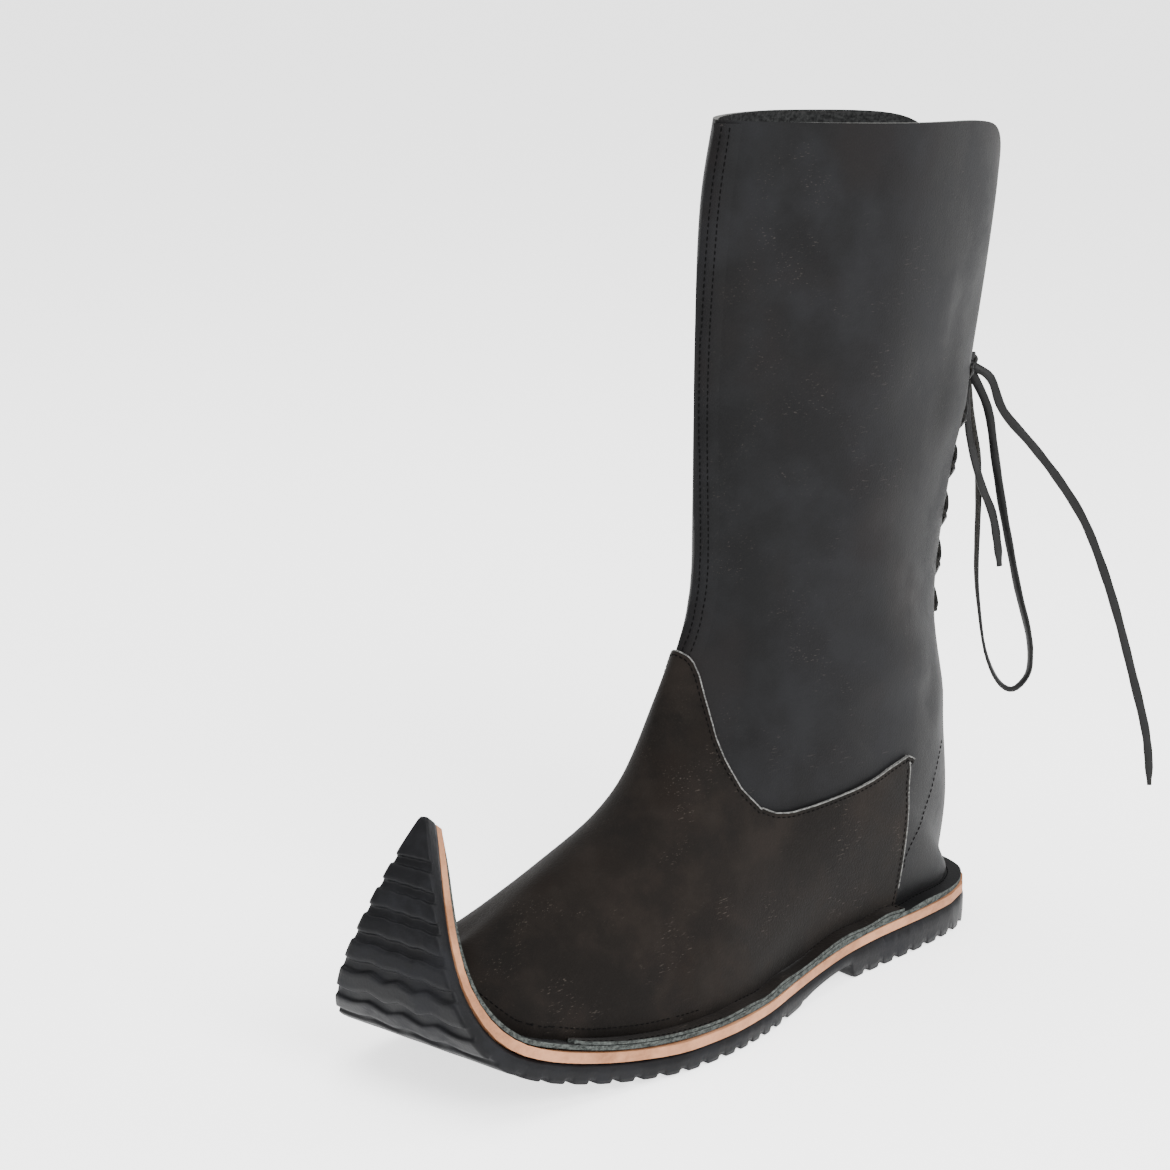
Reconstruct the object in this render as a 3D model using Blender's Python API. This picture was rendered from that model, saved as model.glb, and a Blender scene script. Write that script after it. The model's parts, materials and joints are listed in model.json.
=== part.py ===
"""Tall back-laced boot with a curled pointed toe, left foot, standing on its sole.

Units are metres. The toe points to -Y, the outer side of the foot to +X and up is +Z.
"""
import math
from collections import namedtuple

import bmesh
import bpy
from mathutils import Vector

# Sole: lengths are measured along the sole, from behind the heel over the curl to the tip
SOLE_LENGTH = 0.400
BALL_HALF_WIDTH = 0.057
HEEL_HEIGHT = 0.014
HEEL_ARC = 0.106
WAIST_RUBBER = 0.0062
FOREFOOT_RUBBER = 0.0083
WAIST_END = 0.152
WAIST_START = 0.122
SLOPE_START = 0.078
SLOPE_END = 0.178
CURL_START = 0.218
CURL_SKEW = math.radians(9.0)
CURL_PIVOT = 0.240

# Tread: wavy ribs across the rubber
TREAD_DEPTH = 0.0017
TREAD_PITCH = 0.0105
TREAD_RIB = 0.0062
TREAD_DRAFT = 0.0006
TREAD_WAVE = 0.0021
TREAD_CELLS = 8
TREAD_MARGIN = 0.0025
TREAD_END = 0.975
BREAST_SLOPE = 0.0015

# Layers above the rubber
SEAT = 0.0003
MIDSOLE_TOP = 0.0045
MIDSOLE_INSET = 0.0003
INSOLE_THICKNESS = 0.0018
INSOLE_GAP = 0.0012

# Upper leather
BOOT_HEIGHT = 0.371
UPPER_WALL = 0.0024
HEEL_CLOSING = 0.028
TOE_CLOSING = 0.026
FLANGE_WIDTH = 0.009
FLANGE_THICKNESS = 0.0019
FLANGE_INSET = 0.0007
FLANGE_STEPS = 2
SLIT_LOW = 0.134
SLIT_TOP_HALF = 0.016
SLIT_LOW_HALF = 0.0022
CORNER_RADIUS = 0.022

# Vamp overlay
VAMP_THICKNESS = 0.0012

# Faces offset from the upper's own run straight to the corner at the sole from this many
# offsets away, and no higher up the section than this turn
CORNER_CLEAR = 2.6
CLEAR_TURN = 0.3

# Lace
LACE_WIDTH = 0.0035
LACE_THICKNESS = 0.0015
HOLE_LOW = 0.146
HOLE_PITCH = 0.0215
HOLE_ROWS = 6
HOLE_SHARE = 0.90
KNOT_HEIGHT = 0.016
KNOT_WIDTH = 0.0085
KNOT_SHIFT = 0.0015

# Curl of the toe: share of SOLE_LENGTH, turn of the sole in degrees
Turn = namedtuple("Turn", "arc degrees")
TURNS = [
    Turn(0.5450, 0.0),
    Turn(0.6100, 6.5),
    Turn(0.6700, 12.5),
    Turn(0.7225, 18.0),
    Turn(0.7600, 27.0),
    Turn(0.7875, 44.0),
    Turn(0.8075, 63.0),
    Turn(0.8250, 83.0),
    Turn(0.8425, 99.0),
    Turn(0.8650, 109.0),
    Turn(0.8950, 116.0),
    Turn(0.9325, 122.0),
    Turn(1.0000, 131.0),
]

# Outline of the sole: share of SOLE_LENGTH, half widths as shares of BALL_HALF_WIDTH
Edge = namedtuple("Edge", "arc outer inner")
EDGES = [
    Edge(0.0050, 0.070, 0.070),
    Edge(0.0088, 0.190, 0.200),
    Edge(0.0175, 0.320, 0.335),
    Edge(0.0325, 0.456, 0.465),
    Edge(0.0575, 0.579, 0.579),
    Edge(0.0900, 0.649, 0.649),
    Edge(0.1375, 0.684, 0.675),
    Edge(0.2000, 0.702, 0.675),
    Edge(0.2650, 0.719, 0.649),
    Edge(0.3250, 0.772, 0.623),
    Edge(0.3750, 0.842, 0.632),
    Edge(0.4375, 0.947, 0.719),
    Edge(0.5000, 1.000, 0.807),
    Edge(0.5550, 0.991, 0.860),
    Edge(0.6125, 0.930, 0.886),
    Edge(0.6600, 0.877, 0.904),
    Edge(0.7400, 0.772, 0.895),
    Edge(0.7700, 0.719, 0.860),
    Edge(0.7950, 0.658, 0.789),
    Edge(0.8175, 0.588, 0.675),
    Edge(0.8400, 0.500, 0.553),
    Edge(0.8850, 0.356, 0.375),
    Edge(0.9350, 0.212, 0.221),
    Edge(0.9775, 0.084, 0.100),
    Edge(0.9985, 0.010, 0.034),
]

# Sections of the upper. base, edge, reach and rise are shares of SOLE_LENGTH, level is one of
# BOOT_HEIGHT, the widths of BALL_HALF_WIDTH. A foot section stands on the sole at base, with its
# flange ending at edge. A shaft section starts behind the heel, base behind it and at level.
# reach and rise lead from there to the front ridge. peak is where the section is widest.
Section = namedtuple("Section", "base edge level reach rise ridge outer inner peak front rear")
FOOT = [
    Section(0.8500, 0.9985, 0.0, 0.0000, 0.0000, -0.098, -0.10, 0.10, 0.60, 1.80, 1.05),
    Section(0.8400, 0.9500, 0.0, 0.0160, 0.0083, -0.070, 0.07, 0.25, 0.70, 1.70, 1.05),
    Section(0.8175, 0.8950, 0.0, 0.0324, 0.0288, -0.045, 0.29, 0.47, 0.75, 1.65, 1.05),
    Section(0.7800, 0.8100, 0.0, 0.0454, 0.0584, -0.025, 0.52, 0.67, 0.80, 1.65, 1.05),
    Section(0.7300, 0.7400, 0.0, 0.0480, 0.0974, 0.000, 0.65, 0.73, 0.85, 1.65, 1.05),
    Section(0.6625, 0.6650, 0.0, 0.0376, 0.1410, 0.018, 0.74, 0.75, 0.88, 1.65, 1.10),
    Section(0.5950, 0.5950, 0.0, 0.0202, 0.1744, 0.035, 0.82, 0.74, 0.88, 1.70, 1.15),
    Section(0.5250, 0.5250, 0.0, -0.0082, 0.1957, 0.053, 0.86, 0.69, 0.88, 1.75, 1.20),
    Section(0.4550, 0.4550, 0.0, -0.0532, 0.2226, 0.053, 0.84, 0.63, 0.85, 1.75, 1.20),
    Section(0.3800, 0.3800, 0.0, -0.1106, 0.2532, 0.053, 0.75, 0.56, 0.80, 1.70, 1.25),
    Section(0.3000, 0.3000, 0.0, -0.1703, 0.2829, 0.035, 0.68, 0.56, 0.72, 1.65, 1.30),
    Section(0.2100, 0.2080, 0.0, -0.2425, 0.3154, 0.035, 0.67, 0.58, 0.65, 1.60, 1.35),
    Section(0.1150, 0.1100, 0.0, -0.3200, 0.3478, 0.018, 0.67, 0.60, 0.60, 1.60, 1.45),
    Section(0.0550, 0.0400, 0.0, -0.3700, 0.3756, 0.018, 0.67, 0.60, 0.57, 1.60, 1.60),
    Section(0.0275, 0.0050, 0.0, -0.3925, 0.4007, 0.018, 0.66, 0.60, 0.55, 1.60, 1.80),
]
SHAFT = [
    Section(-0.0050, 0.0, 0.116, -0.4125, 0.3729, 0.018, 0.65, 0.60, 0.54, 1.60, 2.00),
    Section(-0.0100, 0.0, 0.194, -0.4075, 0.3330, 0.018, 0.64, 0.60, 0.53, 1.60, 1.90),
    Section(-0.0250, 0.0, 0.286, -0.3925, 0.2847, 0.018, 0.63, 0.60, 0.52, 1.55, 1.80),
    Section(-0.0400, 0.0, 0.361, -0.3775, 0.2551, 0.018, 0.61, 0.60, 0.50, 1.50, 1.70),
    Section(-0.0425, 0.0, 0.447, -0.3750, 0.2180, 0.018, 0.60, 0.60, 0.50, 1.50, 1.60),
    Section(-0.0275, 0.0, 0.539, -0.3900, 0.1799, 0.018, 0.60, 0.62, 0.50, 1.45, 1.55),
    Section(-0.0100, 0.0, 0.633, -0.4075, 0.1428, 0.018, 0.61, 0.65, 0.50, 1.45, 1.50),
    Section(0.0050, 0.0, 0.741, -0.4213, 0.1002, 0.018, 0.63, 0.68, 0.50, 1.45, 1.50),
    Section(0.0150, 0.0, 0.857, -0.4275, 0.0547, 0.018, 0.65, 0.71, 0.50, 1.45, 1.50),
    Section(0.0125, 0.0, 0.978, -0.4050, 0.0204, 0.018, 0.67, 0.74, 0.50, 1.45, 1.50),
]
ROWS = FOOT + SHAFT
HEEL_ROW = len(FOOT) - 1
SLIT_ROW = HEEL_ROW + 4
TOP_ROW = len(ROWS) - 1
SOLID_TOE_ROWS = 2.0

# Leather of a shell: offsets of its faces from the upper's own, lifts over the rubber of its
# flange and of the foot of its inner face, and the toe rows that are solid
Leather = namedtuple("Leather", "outer inner top bottom foot hollow")

# Places between the rows where the upper's mesh has a ring, and steps round half a ring
FINE_ROWS = (0.0, 0.8, 1.2, 1.6, 2.0, 2.35, 2.7, 3.0, 3.35, 3.7)
WAIST_FINE = (8.0, 8.5, 9.0, 9.5, 10.0, 10.5, 11.0, 11.5)
HEEL_FINE = (12.0, 12.6, 13.2, 13.6, 14.0, 14.5)
INSOLE_ROWS = (13.95, 13.8, 13.5, 13.0, 12.5, 12.0, 11.5, 11.0, 10.5, 10.0, 9.5, 9.0, 8.5, 8.0, 7.0, 6.0, 5.5, 5.0, 4.6)
HALF_RING = (0.0, 0.09, 0.19, 0.30, 0.41, 0.52, 0.63, 0.74, 0.84, 0.92, 1.0)

# Edge of the vamp seen from the side: shares of SOLE_LENGTH towards the toe and upwards
Seam = namedtuple("Seam", "forward height")
VAMP_SEAM = [
    Seam(0.4450, 0.3933),
    Seam(0.4340, 0.3812),
    Seam(0.4325, 0.3664),
    Seam(0.4330, 0.3432),
    Seam(0.4320, 0.3033),
    Seam(0.4270, 0.2773),
    Seam(0.4160, 0.2495),
    Seam(0.4000, 0.2291),
    Seam(0.3800, 0.2170),
    Seam(0.3580, 0.2124),
    Seam(0.3260, 0.2124),
    Seam(0.2900, 0.2143),
    Seam(0.2550, 0.2170),
    Seam(0.2160, 0.2226),
    Seam(0.1800, 0.2300),
    Seam(0.1640, 0.2319),
    Seam(0.1670, 0.1948),
    Seam(0.1710, 0.1391),
    Seam(0.1750, 0.0788),
    Seam(0.1760, -0.0278),
]


def smoothstep(low, high, value):
    """Ease from 0 at low to 1 at high."""
    share = min(max((value - low) / (high - low), 0.0), 1.0)
    return share * share * (3.0 - 2.0 * share)


def blend(rows, place):
    """Smooth curve through the rows at a real row number."""
    last = len(rows) - 1
    place = min(max(place, 0.0), float(last))
    index = min(int(place), last - 1)
    share = place - index
    here, there = rows[index], rows[index + 1]
    before = rows[index - 1] if index else [2.0 * a - b for a, b in zip(here, there)]
    after = rows[index + 2] if index + 2 <= last else [2.0 * b - a for a, b in zip(here, there)]
    values = []
    for p, a, b, q in zip(before, here, there, after):
        slope_in = 0.5 * (b - p)
        slope_out = 0.5 * (q - a)
        values.append(hermite(a, b, slope_in, slope_out, share))
    return values


def hermite(start, end, slope_in, slope_out, share):
    """Cubic between two values with given slopes."""
    square, cube = share * share, share ** 3
    return (
        start * (2.0 * cube - 3.0 * square + 1.0)
        + slope_in * (cube - 2.0 * square + share)
        + end * (3.0 * square - 2.0 * cube)
        + slope_out * (cube - square)
    )


def half_width(arc, side):
    """Half width of the sole's outline at a length along it, side 1 outer or -1 inner."""
    column = 1 if side > 0 else 2
    share = min(max(arc / SOLE_LENGTH, EDGES[0].arc), EDGES[-1].arc)
    index = 0
    while index < len(EDGES) - 2 and EDGES[index + 1].arc < share:
        index += 1
    slopes = [edge_slope(index, column), edge_slope(index + 1, column)]
    here, there = EDGES[index], EDGES[index + 1]
    span = there.arc - here.arc
    part = (share - here.arc) / span
    width = hermite(here[column], there[column], slopes[0] * span, slopes[1] * span, part)
    return width * BALL_HALF_WIDTH


def edge_slope(index, column):
    """Slope of the outline at one of its rows, flat where the outline turns back."""
    if index == 0 or index == len(EDGES) - 1:
        other = 1 if index == 0 else index - 1
        return (EDGES[other][column] - EDGES[index][column]) / (EDGES[other].arc - EDGES[index].arc)
    before, here, after = EDGES[index - 1], EDGES[index], EDGES[index + 1]
    rise_in = (here[column] - before[column]) / (here.arc - before.arc)
    rise_out = (after[column] - here[column]) / (after.arc - here.arc)
    if rise_in * rise_out <= 0.0:
        return 0.0
    return 2.0 * rise_in * rise_out / (rise_in + rise_out)


def curl(arc):
    """Forward run, height and turn of the rubber's top where the toe curls up."""
    forward = TURNS[0].arc * SOLE_LENGTH
    height = FOREFOOT_RUBBER
    turn = 0.0
    for start, end in zip(TURNS, TURNS[1:]):
        low, high = start.arc * SOLE_LENGTH, end.arc * SOLE_LENGTH
        if arc <= low:
            break
        span = min(arc, high) - low
        first = math.radians(start.degrees)
        turn = first + math.radians(end.degrees - start.degrees) * span / (high - low)
        radius = span / (turn - first)
        forward += radius * (math.sin(turn) - math.sin(first))
        height += radius * (math.cos(first) - math.cos(turn))
    return forward, height, turn


def ground(arc):
    """Height and slope of the rubber's top where the sole lies flat, from heel to ball."""
    drop = HEEL_HEIGHT - FOREFOOT_RUBBER
    step = 0.0005
    height = HEEL_HEIGHT - drop * smoothstep(SLOPE_START, SLOPE_END, arc)
    later = HEEL_HEIGHT - drop * smoothstep(SLOPE_START, SLOPE_END, arc + step)
    return height, math.atan2(later - height, step)


def place(arc, side, lift):
    """Point at a length along the sole and a distance to the side, lifted off the rubber."""
    cos, sin = math.cos(CURL_SKEW), math.sin(CURL_SKEW)
    ahead = arc - CURL_PIVOT
    rolled = CURL_PIVOT + ahead * cos + side * sin
    across = side * cos - ahead * sin
    if rolled <= TURNS[0].arc * SOLE_LENGTH or arc < WAIST_END:
        height, slope = ground(arc)
        return Vector((side, -arc + lift * math.sin(slope), height + lift * math.cos(slope)))
    forward, height, turn = curl(rolled)
    run = forward - lift * math.sin(turn) - CURL_PIVOT
    return Vector((
        run * sin + across * cos,
        -(CURL_PIVOT + run * cos - across * sin),
        height + lift * math.cos(turn),
    ))


def skewed(arc, side):
    """Length along the sole of a cross line that follows the axis of the curl."""
    ramp = smoothstep(WAIST_END, CURL_START, arc) * (1.0 - smoothstep(0.93 * SOLE_LENGTH, SOLE_LENGTH, arc))
    return arc - ramp * side * math.tan(CURL_SKEW)


def edge_point(arc, side, inset):
    """Length and offset of the outline on a cross line, inset from the edge."""
    offset = side * (half_width(arc, side) - inset)
    for _ in range(3):
        offset = side * max(half_width(skewed(arc, offset), side) - inset, 0.1 * SEAT)
    return skewed(arc, offset), offset


def feather(row, side, inset):
    """Length and offset of the line where the upper meets the sole, inset more if wanted."""
    base = min(blend(FOOT, row)[0], FOOT[0].base) * SOLE_LENGTH
    heel_end, toe_end = FOOT[HEEL_ROW].base * SOLE_LENGTH, FOOT[0].base * SOLE_LENGTH
    full_heel = half_width(heel_end + HEEL_CLOSING, side) - FLANGE_WIDTH - inset
    wide = half_width(base, side) - FLANGE_WIDTH - inset
    share = min(max((base - heel_end) / HEEL_CLOSING, 0.0), 1.0)
    if share < 1.0:
        wide = full_heel * math.sqrt(1.0 - (1.0 - share) ** 2)
        return base + inset * (1.0 - share), side * wide
    left = half_width(base, 1) - FLANGE_WIDTH - inset
    right = half_width(base, -1) - FLANGE_WIDTH - inset
    middle = 0.5 * (left - right)
    share = min(max((toe_end - base) / TOE_CLOSING, 0.0), 1.0)
    closing = math.sqrt(1.0 - (1.0 - share) ** 2)
    offset = middle + (side * wide - middle) * closing
    return base - inset * (1.0 - share), offset


def slit_half(level):
    """Half the gap of the back slit at a height."""
    if level <= SLIT_LOW + 1e-6:
        return 0.0
    share = (level - SLIT_LOW) / (BOOT_HEIGHT - SLIT_LOW)
    return SLIT_LOW_HALF * min(share * 12.0, 1.0) + (SLIT_TOP_HALF - SLIT_LOW_HALF) * share ** 1.35


def flange_top():
    """Lift of the flange's upper face over the rubber."""
    return MIDSOLE_TOP + SEAT + FLANGE_THICKNESS


def base_point(row, side):
    """Point of a section at the sole, or at the back seam above the heel."""
    if row <= HEEL_ROW:
        arc, offset = feather(row, side, 0.0)
        point = place(arc, offset, flange_top())
        return point
    heel = FOOT[HEEL_ROW]
    first = place(heel.base * SOLE_LENGTH, 0.0, flange_top())
    start = [-first.y / SOLE_LENGTH, first.z / BOOT_HEIGHT]
    ends = [start] + [[-part.base, part.level] for part in SHAFT]
    forward, level = blend(ends, row - HEEL_ROW)
    level *= BOOT_HEIGHT
    gap = slit_half(level) if row > SLIT_ROW else 0.0
    return Vector((side * gap, -forward * SOLE_LENGTH, level))


def skin(row, turn):
    """Outer face of the upper: row along the boot, turn from -1 inner base over 0 to 1."""
    side = 1.0 if turn >= 0.0 else -1.0
    part = Section(*blend(ROWS, row))
    base = base_point(row, side)
    wide = side * (part.outer if side > 0 else part.inner) * BALL_HALF_WIDTH
    angle = abs(turn) * math.pi
    if angle <= 0.5 * math.pi:
        down = part.peak * (1.0 - max(math.cos(angle), 0.0) ** (2.0 / part.front))
        ridge = part.ridge * BALL_HALF_WIDTH * (1.0 - down / part.peak)
        across = ridge + wide * math.sin(angle) ** (2.0 / part.front)
    else:
        down = part.peak + (1.0 - part.peak) * max(-math.cos(angle), 0.0) ** (2.0 / part.rear)
        across = base.x + (wide - base.x) * max(math.sin(angle), 0.0) ** (2.0 / part.rear)
    up = 1.0 - down
    point = Vector((
        across,
        base.y + part.reach * SOLE_LENGTH * up,
        base.z + part.rise * SOLE_LENGTH * up,
    ))
    from_back = (1.0 - down) * abs(part.reach) * SOLE_LENGTH
    if row > TOP_ROW - 1 and from_back < CORNER_RADIUS:
        inside = CORNER_RADIUS - from_back
        drop = CORNER_RADIUS - math.sqrt(CORNER_RADIUS ** 2 - inside ** 2)
        point.z -= drop * (row - TOP_ROW + 1)
    return point


def outward(row, turn):
    """Direction out of the upper's face."""
    step = 0.02
    ahead = skin(min(row + 5 * step, TOP_ROW), turn) - skin(max(row - 5 * step, 0.0), turn)
    if abs(turn) > 1.0 - step:
        side = math.copysign(1.0, turn)
        round_it = (skin(row, side) - skin(row, side * (1.0 - 2.0 * step))) * side
    else:
        round_it = skin(row, turn + step) - skin(row, turn - step)
    normal = round_it.cross(ahead)
    if abs(turn) == 1.0 and HEEL_ROW <= row <= SLIT_ROW:
        normal.x = 0.0
    return normal.normalized() if normal.length > 1e-12 else Vector((0.0, 0.7, 0.7))


def ring(row, leather):
    """Closed loop of a shell at a row: outer face, flange, inner face, flange."""
    loop = []
    turns = [-share for share in reversed(HALF_RING[1:])] + list(HALF_RING)
    on_sole = row <= HEEL_ROW
    for turn in turns:
        loop.append(shell_point(row, turn, leather.outer, leather.top))
    if on_sole:
        loop.extend(flange_points(row, 1.0, leather))
    for turn in reversed(turns):
        loop.append(inner_point(row, turn, leather))
    if on_sole:
        loop.extend(reversed(flange_points(row, -1.0, leather)))
    return loop


def shell_point(row, turn, offset, lift):
    """Point of a face offset from the upper's own, ending at a lift where it meets the sole."""
    if row > HEEL_ROW:
        return skin(row, turn) + outward(row, turn) * offset
    side = math.copysign(1.0, turn)
    corner = place(*feather(row, side, -corner_reach(row, side, offset)), lift)
    if row == 0.0 or abs(turn) == 1.0:
        return corner
    foot = base_point(row, side)
    near = (skin(row, turn) - foot).length
    clear = abs(turn)
    while clear > CLEAR_TURN and (skin(row, side * clear) - foot).length < CORNER_CLEAR * abs(offset):
        clear -= 0.05
    far = skin(row, side * clear) + outward(row, side * clear) * offset
    if clear == abs(turn):
        return far
    return corner.lerp(far, near / (skin(row, side * clear) - foot).length)


def corner_reach(row, side, offset):
    """How far a face offset from the upper's own stays from the corner at the sole."""
    if offset <= 0.0:
        return 0.0 if row == 0.0 else offset
    foot = place(*feather(row, side, 0.0), flange_top())
    wall = skin(row, side * HALF_RING[-2]) - foot
    flange = place(*feather(row, side, -FLANGE_INSET), flange_top()) - foot
    return offset * min(max(1.0 / math.tan(0.5 * wall.angle(flange, 0.5 * math.pi)), 0.6), 1.9)


def inner_point(row, turn, leather):
    """Point of the inner face, laid flat across the flange's underside in a solid toe."""
    if row >= leather.hollow:
        return shell_point(row, turn, leather.inner, leather.foot)
    share = 0.5 * (1.0 + turn)
    arc_left, side_left = feather(row, 1.0, -leather.inner)
    arc_right, side_right = feather(row, -1.0, -leather.inner)
    arc = arc_right + (arc_left - arc_right) * share
    side = side_right + (side_left - side_right) * share
    return place(arc, side, leather.bottom)


def flange_edge(row, side):
    """Length and offset of the flange's outer edge."""
    arc = blend(FOOT, row)[1] * SOLE_LENGTH
    arc = min(max(arc, EDGES[0].arc * SOLE_LENGTH), EDGES[-1].arc * SOLE_LENGTH)
    if row == 0.0:
        return arc - FLANGE_INSET, 0.5 * (half_width(arc, 1) - half_width(arc, -1))
    if row == HEEL_ROW:
        return arc + FLANGE_INSET, 0.0
    return arc, side * max(half_width(arc, side) - FLANGE_INSET, 0.0)


def flange_points(row, side, leather):
    """Flange from the upper's foot out to the sole's edge and back underneath."""
    arc_in, off_in = feather(row, side, 0.0)
    arc_out, off_out = flange_edge(row, side)
    spots = []
    for step in range(1, FLANGE_STEPS + 1):
        share = step / FLANGE_STEPS
        spots.append((arc_in + (arc_out - arc_in) * share, off_in + (off_out - off_in) * share))
    points = [place(arc, offset, leather.top) for arc, offset in spots]
    points += [place(arc, offset, leather.bottom) for arc, offset in reversed(spots)]
    inset = -corner_reach(row, side, leather.inner)
    points.append(place(*feather(row, side, inset), leather.bottom))
    return points


def ring_rows(last):
    """Rows of the rings, closer at the toe and round the heel."""
    rows = [row for row in FINE_ROWS if row <= last]
    rows += [float(row) for row in range(4, 8) if row <= last]
    rows += [row for row in WAIST_FINE if row <= last]
    rows += [row for row in HEEL_FINE if row <= last]
    rows += [float(row) for row in range(15, TOP_ROW) if row <= last]
    if last == TOP_ROW:
        rows += [TOP_ROW - 0.5, float(TOP_ROW)]
    return rows


def finish(mesh_name, form, material):
    """Turn a bmesh into a named object with its own material, moved over the origin."""
    bmesh.ops.remove_doubles(form, verts=form.verts, dist=2e-6)
    bmesh.ops.dissolve_degenerate(form, dist=1e-6, edges=form.edges)
    bmesh.ops.recalc_face_normals(form, faces=form.faces)
    mesh = bpy.data.meshes.new(mesh_name)
    form.to_mesh(mesh)
    form.free()
    body = bpy.data.objects.new(mesh_name, mesh)
    bpy.context.scene.collection.objects.link(body)
    mesh.materials.append(material)
    return body


def paint(name, colour, roughness):
    """Plain material of one colour."""
    material = bpy.data.materials.new(name)
    material.use_nodes = True
    shader = material.node_tree.nodes["Principled BSDF"]
    shader.inputs["Base Color"].default_value = (*colour, 1.0)
    shader.inputs["Roughness"].default_value = roughness
    return material


def join_rings(form, rings, closed, slants=None):
    """Faces between rings of equal length, split along the slant given for each step round."""
    for before, after in zip(rings, rings[1:]):
        count = len(before)
        steps = count if closed else count - 1
        for index in range(steps):
            following = (index + 1) % count
            corners = (before[index], before[following], after[following], after[index])
            if slants is None:
                form.faces.new(corners)
            elif slants[index]:
                form.faces.new(corners[:3])
                form.faces.new((corners[0], corners[2], corners[3]))
            else:
                form.faces.new((corners[0], corners[1], corners[3]))
                form.faces.new(corners[1:])


def shell(name, last, leather, material):
    """Leather shell with a flange, from the throat of the toe up to a row."""
    form = bmesh.new()
    rows = ring_rows(last)
    foot_rows = [row for row in rows if row <= HEEL_ROW]
    shaft_rows = [row for row in rows if row >= HEEL_ROW]
    around = 2 * len(HALF_RING) - 1
    flange = 2 * FLANGE_STEPS + 1
    outside = [True] * (around + FLANGE_STEPS)
    slants = outside + [False] * (around + 2 * flange - 2 * FLANGE_STEPS) + [True] * FLANGE_STEPS
    loops = []
    for row in foot_rows:
        loops.append([form.verts.new(point) for point in ring(row, leather)])
    join_rings(form, loops, True, slants)
    outer_rows = [loops[-1][:around]]
    inner_rows = [loops[-1][around + flange:2 * around + flange]]
    for row in shaft_rows[1:]:
        loop = [form.verts.new(point) for point in ring(row, leather)]
        outer_rows.append(loop[:around])
        inner_rows.append(loop[around:])
    join_rings(form, outer_rows, False, [True] * around)
    join_rings(form, inner_rows, False, [False] * around)
    join_rings(form, [outer_rows[-1], list(reversed(inner_rows[-1]))], False)
    for index, row in enumerate(shaft_rows[1:]):
        if row > SLIT_ROW:
            for end in (0, -1):
                form.faces.new((
                    outer_rows[index][end],
                    outer_rows[index + 1][end],
                    inner_rows[index + 1][-1 - end],
                    inner_rows[index][-1 - end],
                ))
    return finish(name, form, material)


def make_upper(material):
    """Black leather upper: foot, shaft and turned-out flange in one hollow wall."""
    leather = Leather(0.0, -UPPER_WALL, flange_top(), MIDSOLE_TOP + SEAT, flange_top(), SOLID_TOE_ROWS)
    return shell("upper", TOP_ROW, leather, material)


def make_vamp(material):
    """Brown overlay of the foot, cut from a form over the upper along its seam."""
    low = flange_top() + SEAT
    leather = Leather(SEAT + VAMP_THICKNESS, SEAT, low + VAMP_THICKNESS, low, low, 0.0)
    vamp = shell("vamp", HEEL_ROW + 3, leather, material)
    cutter = seam_cutter(material)
    cut = vamp.modifiers.new("seam", "BOOLEAN")
    cut.operation = "INTERSECT"
    cut.solver = "EXACT"
    cut.object = cutter
    apply_modifiers(vamp)
    bpy.data.objects.remove(cutter)
    return vamp


def seam_cutter(material):
    """Slab with the vamp's outline seen from the side."""
    form = bmesh.new()
    outline = [(-row.forward * SOLE_LENGTH, row.height * SOLE_LENGTH) for row in VAMP_SEAM]
    toe = -SOLE_LENGTH
    outline.append((toe, outline[-1][1]))
    outline.append((toe, outline[0][1]))
    sides = []
    for side in (-2.0 * BALL_HALF_WIDTH, 2.0 * BALL_HALF_WIDTH):
        sides.append([form.verts.new((side, y, z)) for y, z in outline])
    form.faces.new(sides[0])
    form.faces.new(sides[1])
    for index in range(len(outline)):
        following = (index + 1) % len(outline)
        form.faces.new((sides[0][index], sides[0][following], sides[1][following], sides[1][index]))
    return finish("seam_cutter", form, material)


def apply_modifiers(body):
    """Replace an object's mesh by its evaluated one."""
    graph = bpy.context.evaluated_depsgraph_get()
    mesh = bpy.data.meshes.new_from_object(body.evaluated_get(graph))
    body.modifiers.clear()
    body.data = mesh


def slab(name, stations, top, inset, cells, material):
    """Layer of the sole between two lifts over the rubber, with stations along it.

    Each station is its length along the sole, the lift of its underside and its wave.
    """
    form = bmesh.new()
    loops = []
    for arc, bottom, wave in stations:
        arc_out, outer = edge_point(arc, 1.0, inset)
        arc_in, inner = edge_point(arc, -1.0, inset)
        loop = []
        for cell in range(cells + 1):
            share = cell / cells
            sway = wave * (-1.0) ** cell if 0 < cell < cells else 0.0
            along = arc_in + (arc_out - arc_in) * share + sway * (outer - inner) / (2.0 * BALL_HALF_WIDTH)
            loop.append(place(along, inner + (outer - inner) * share, bottom))
        loop.append(place(arc_out, outer, top))
        loop.append(place(arc_in, inner, top))
        loops.append([form.verts.new(point) for point in loop])
    join_rings(form, loops, True)
    form.faces.new(loops[0])
    form.faces.new(list(reversed(loops[-1])))
    return finish(name, form, material)


def rubber_depth(arc):
    """Thickness of the rubber under a length along the sole, heel apart."""
    return WAIST_RUBBER + (FOREFOOT_RUBBER - WAIST_RUBBER) * smoothstep(WAIST_START, WAIST_END, arc)


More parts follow.
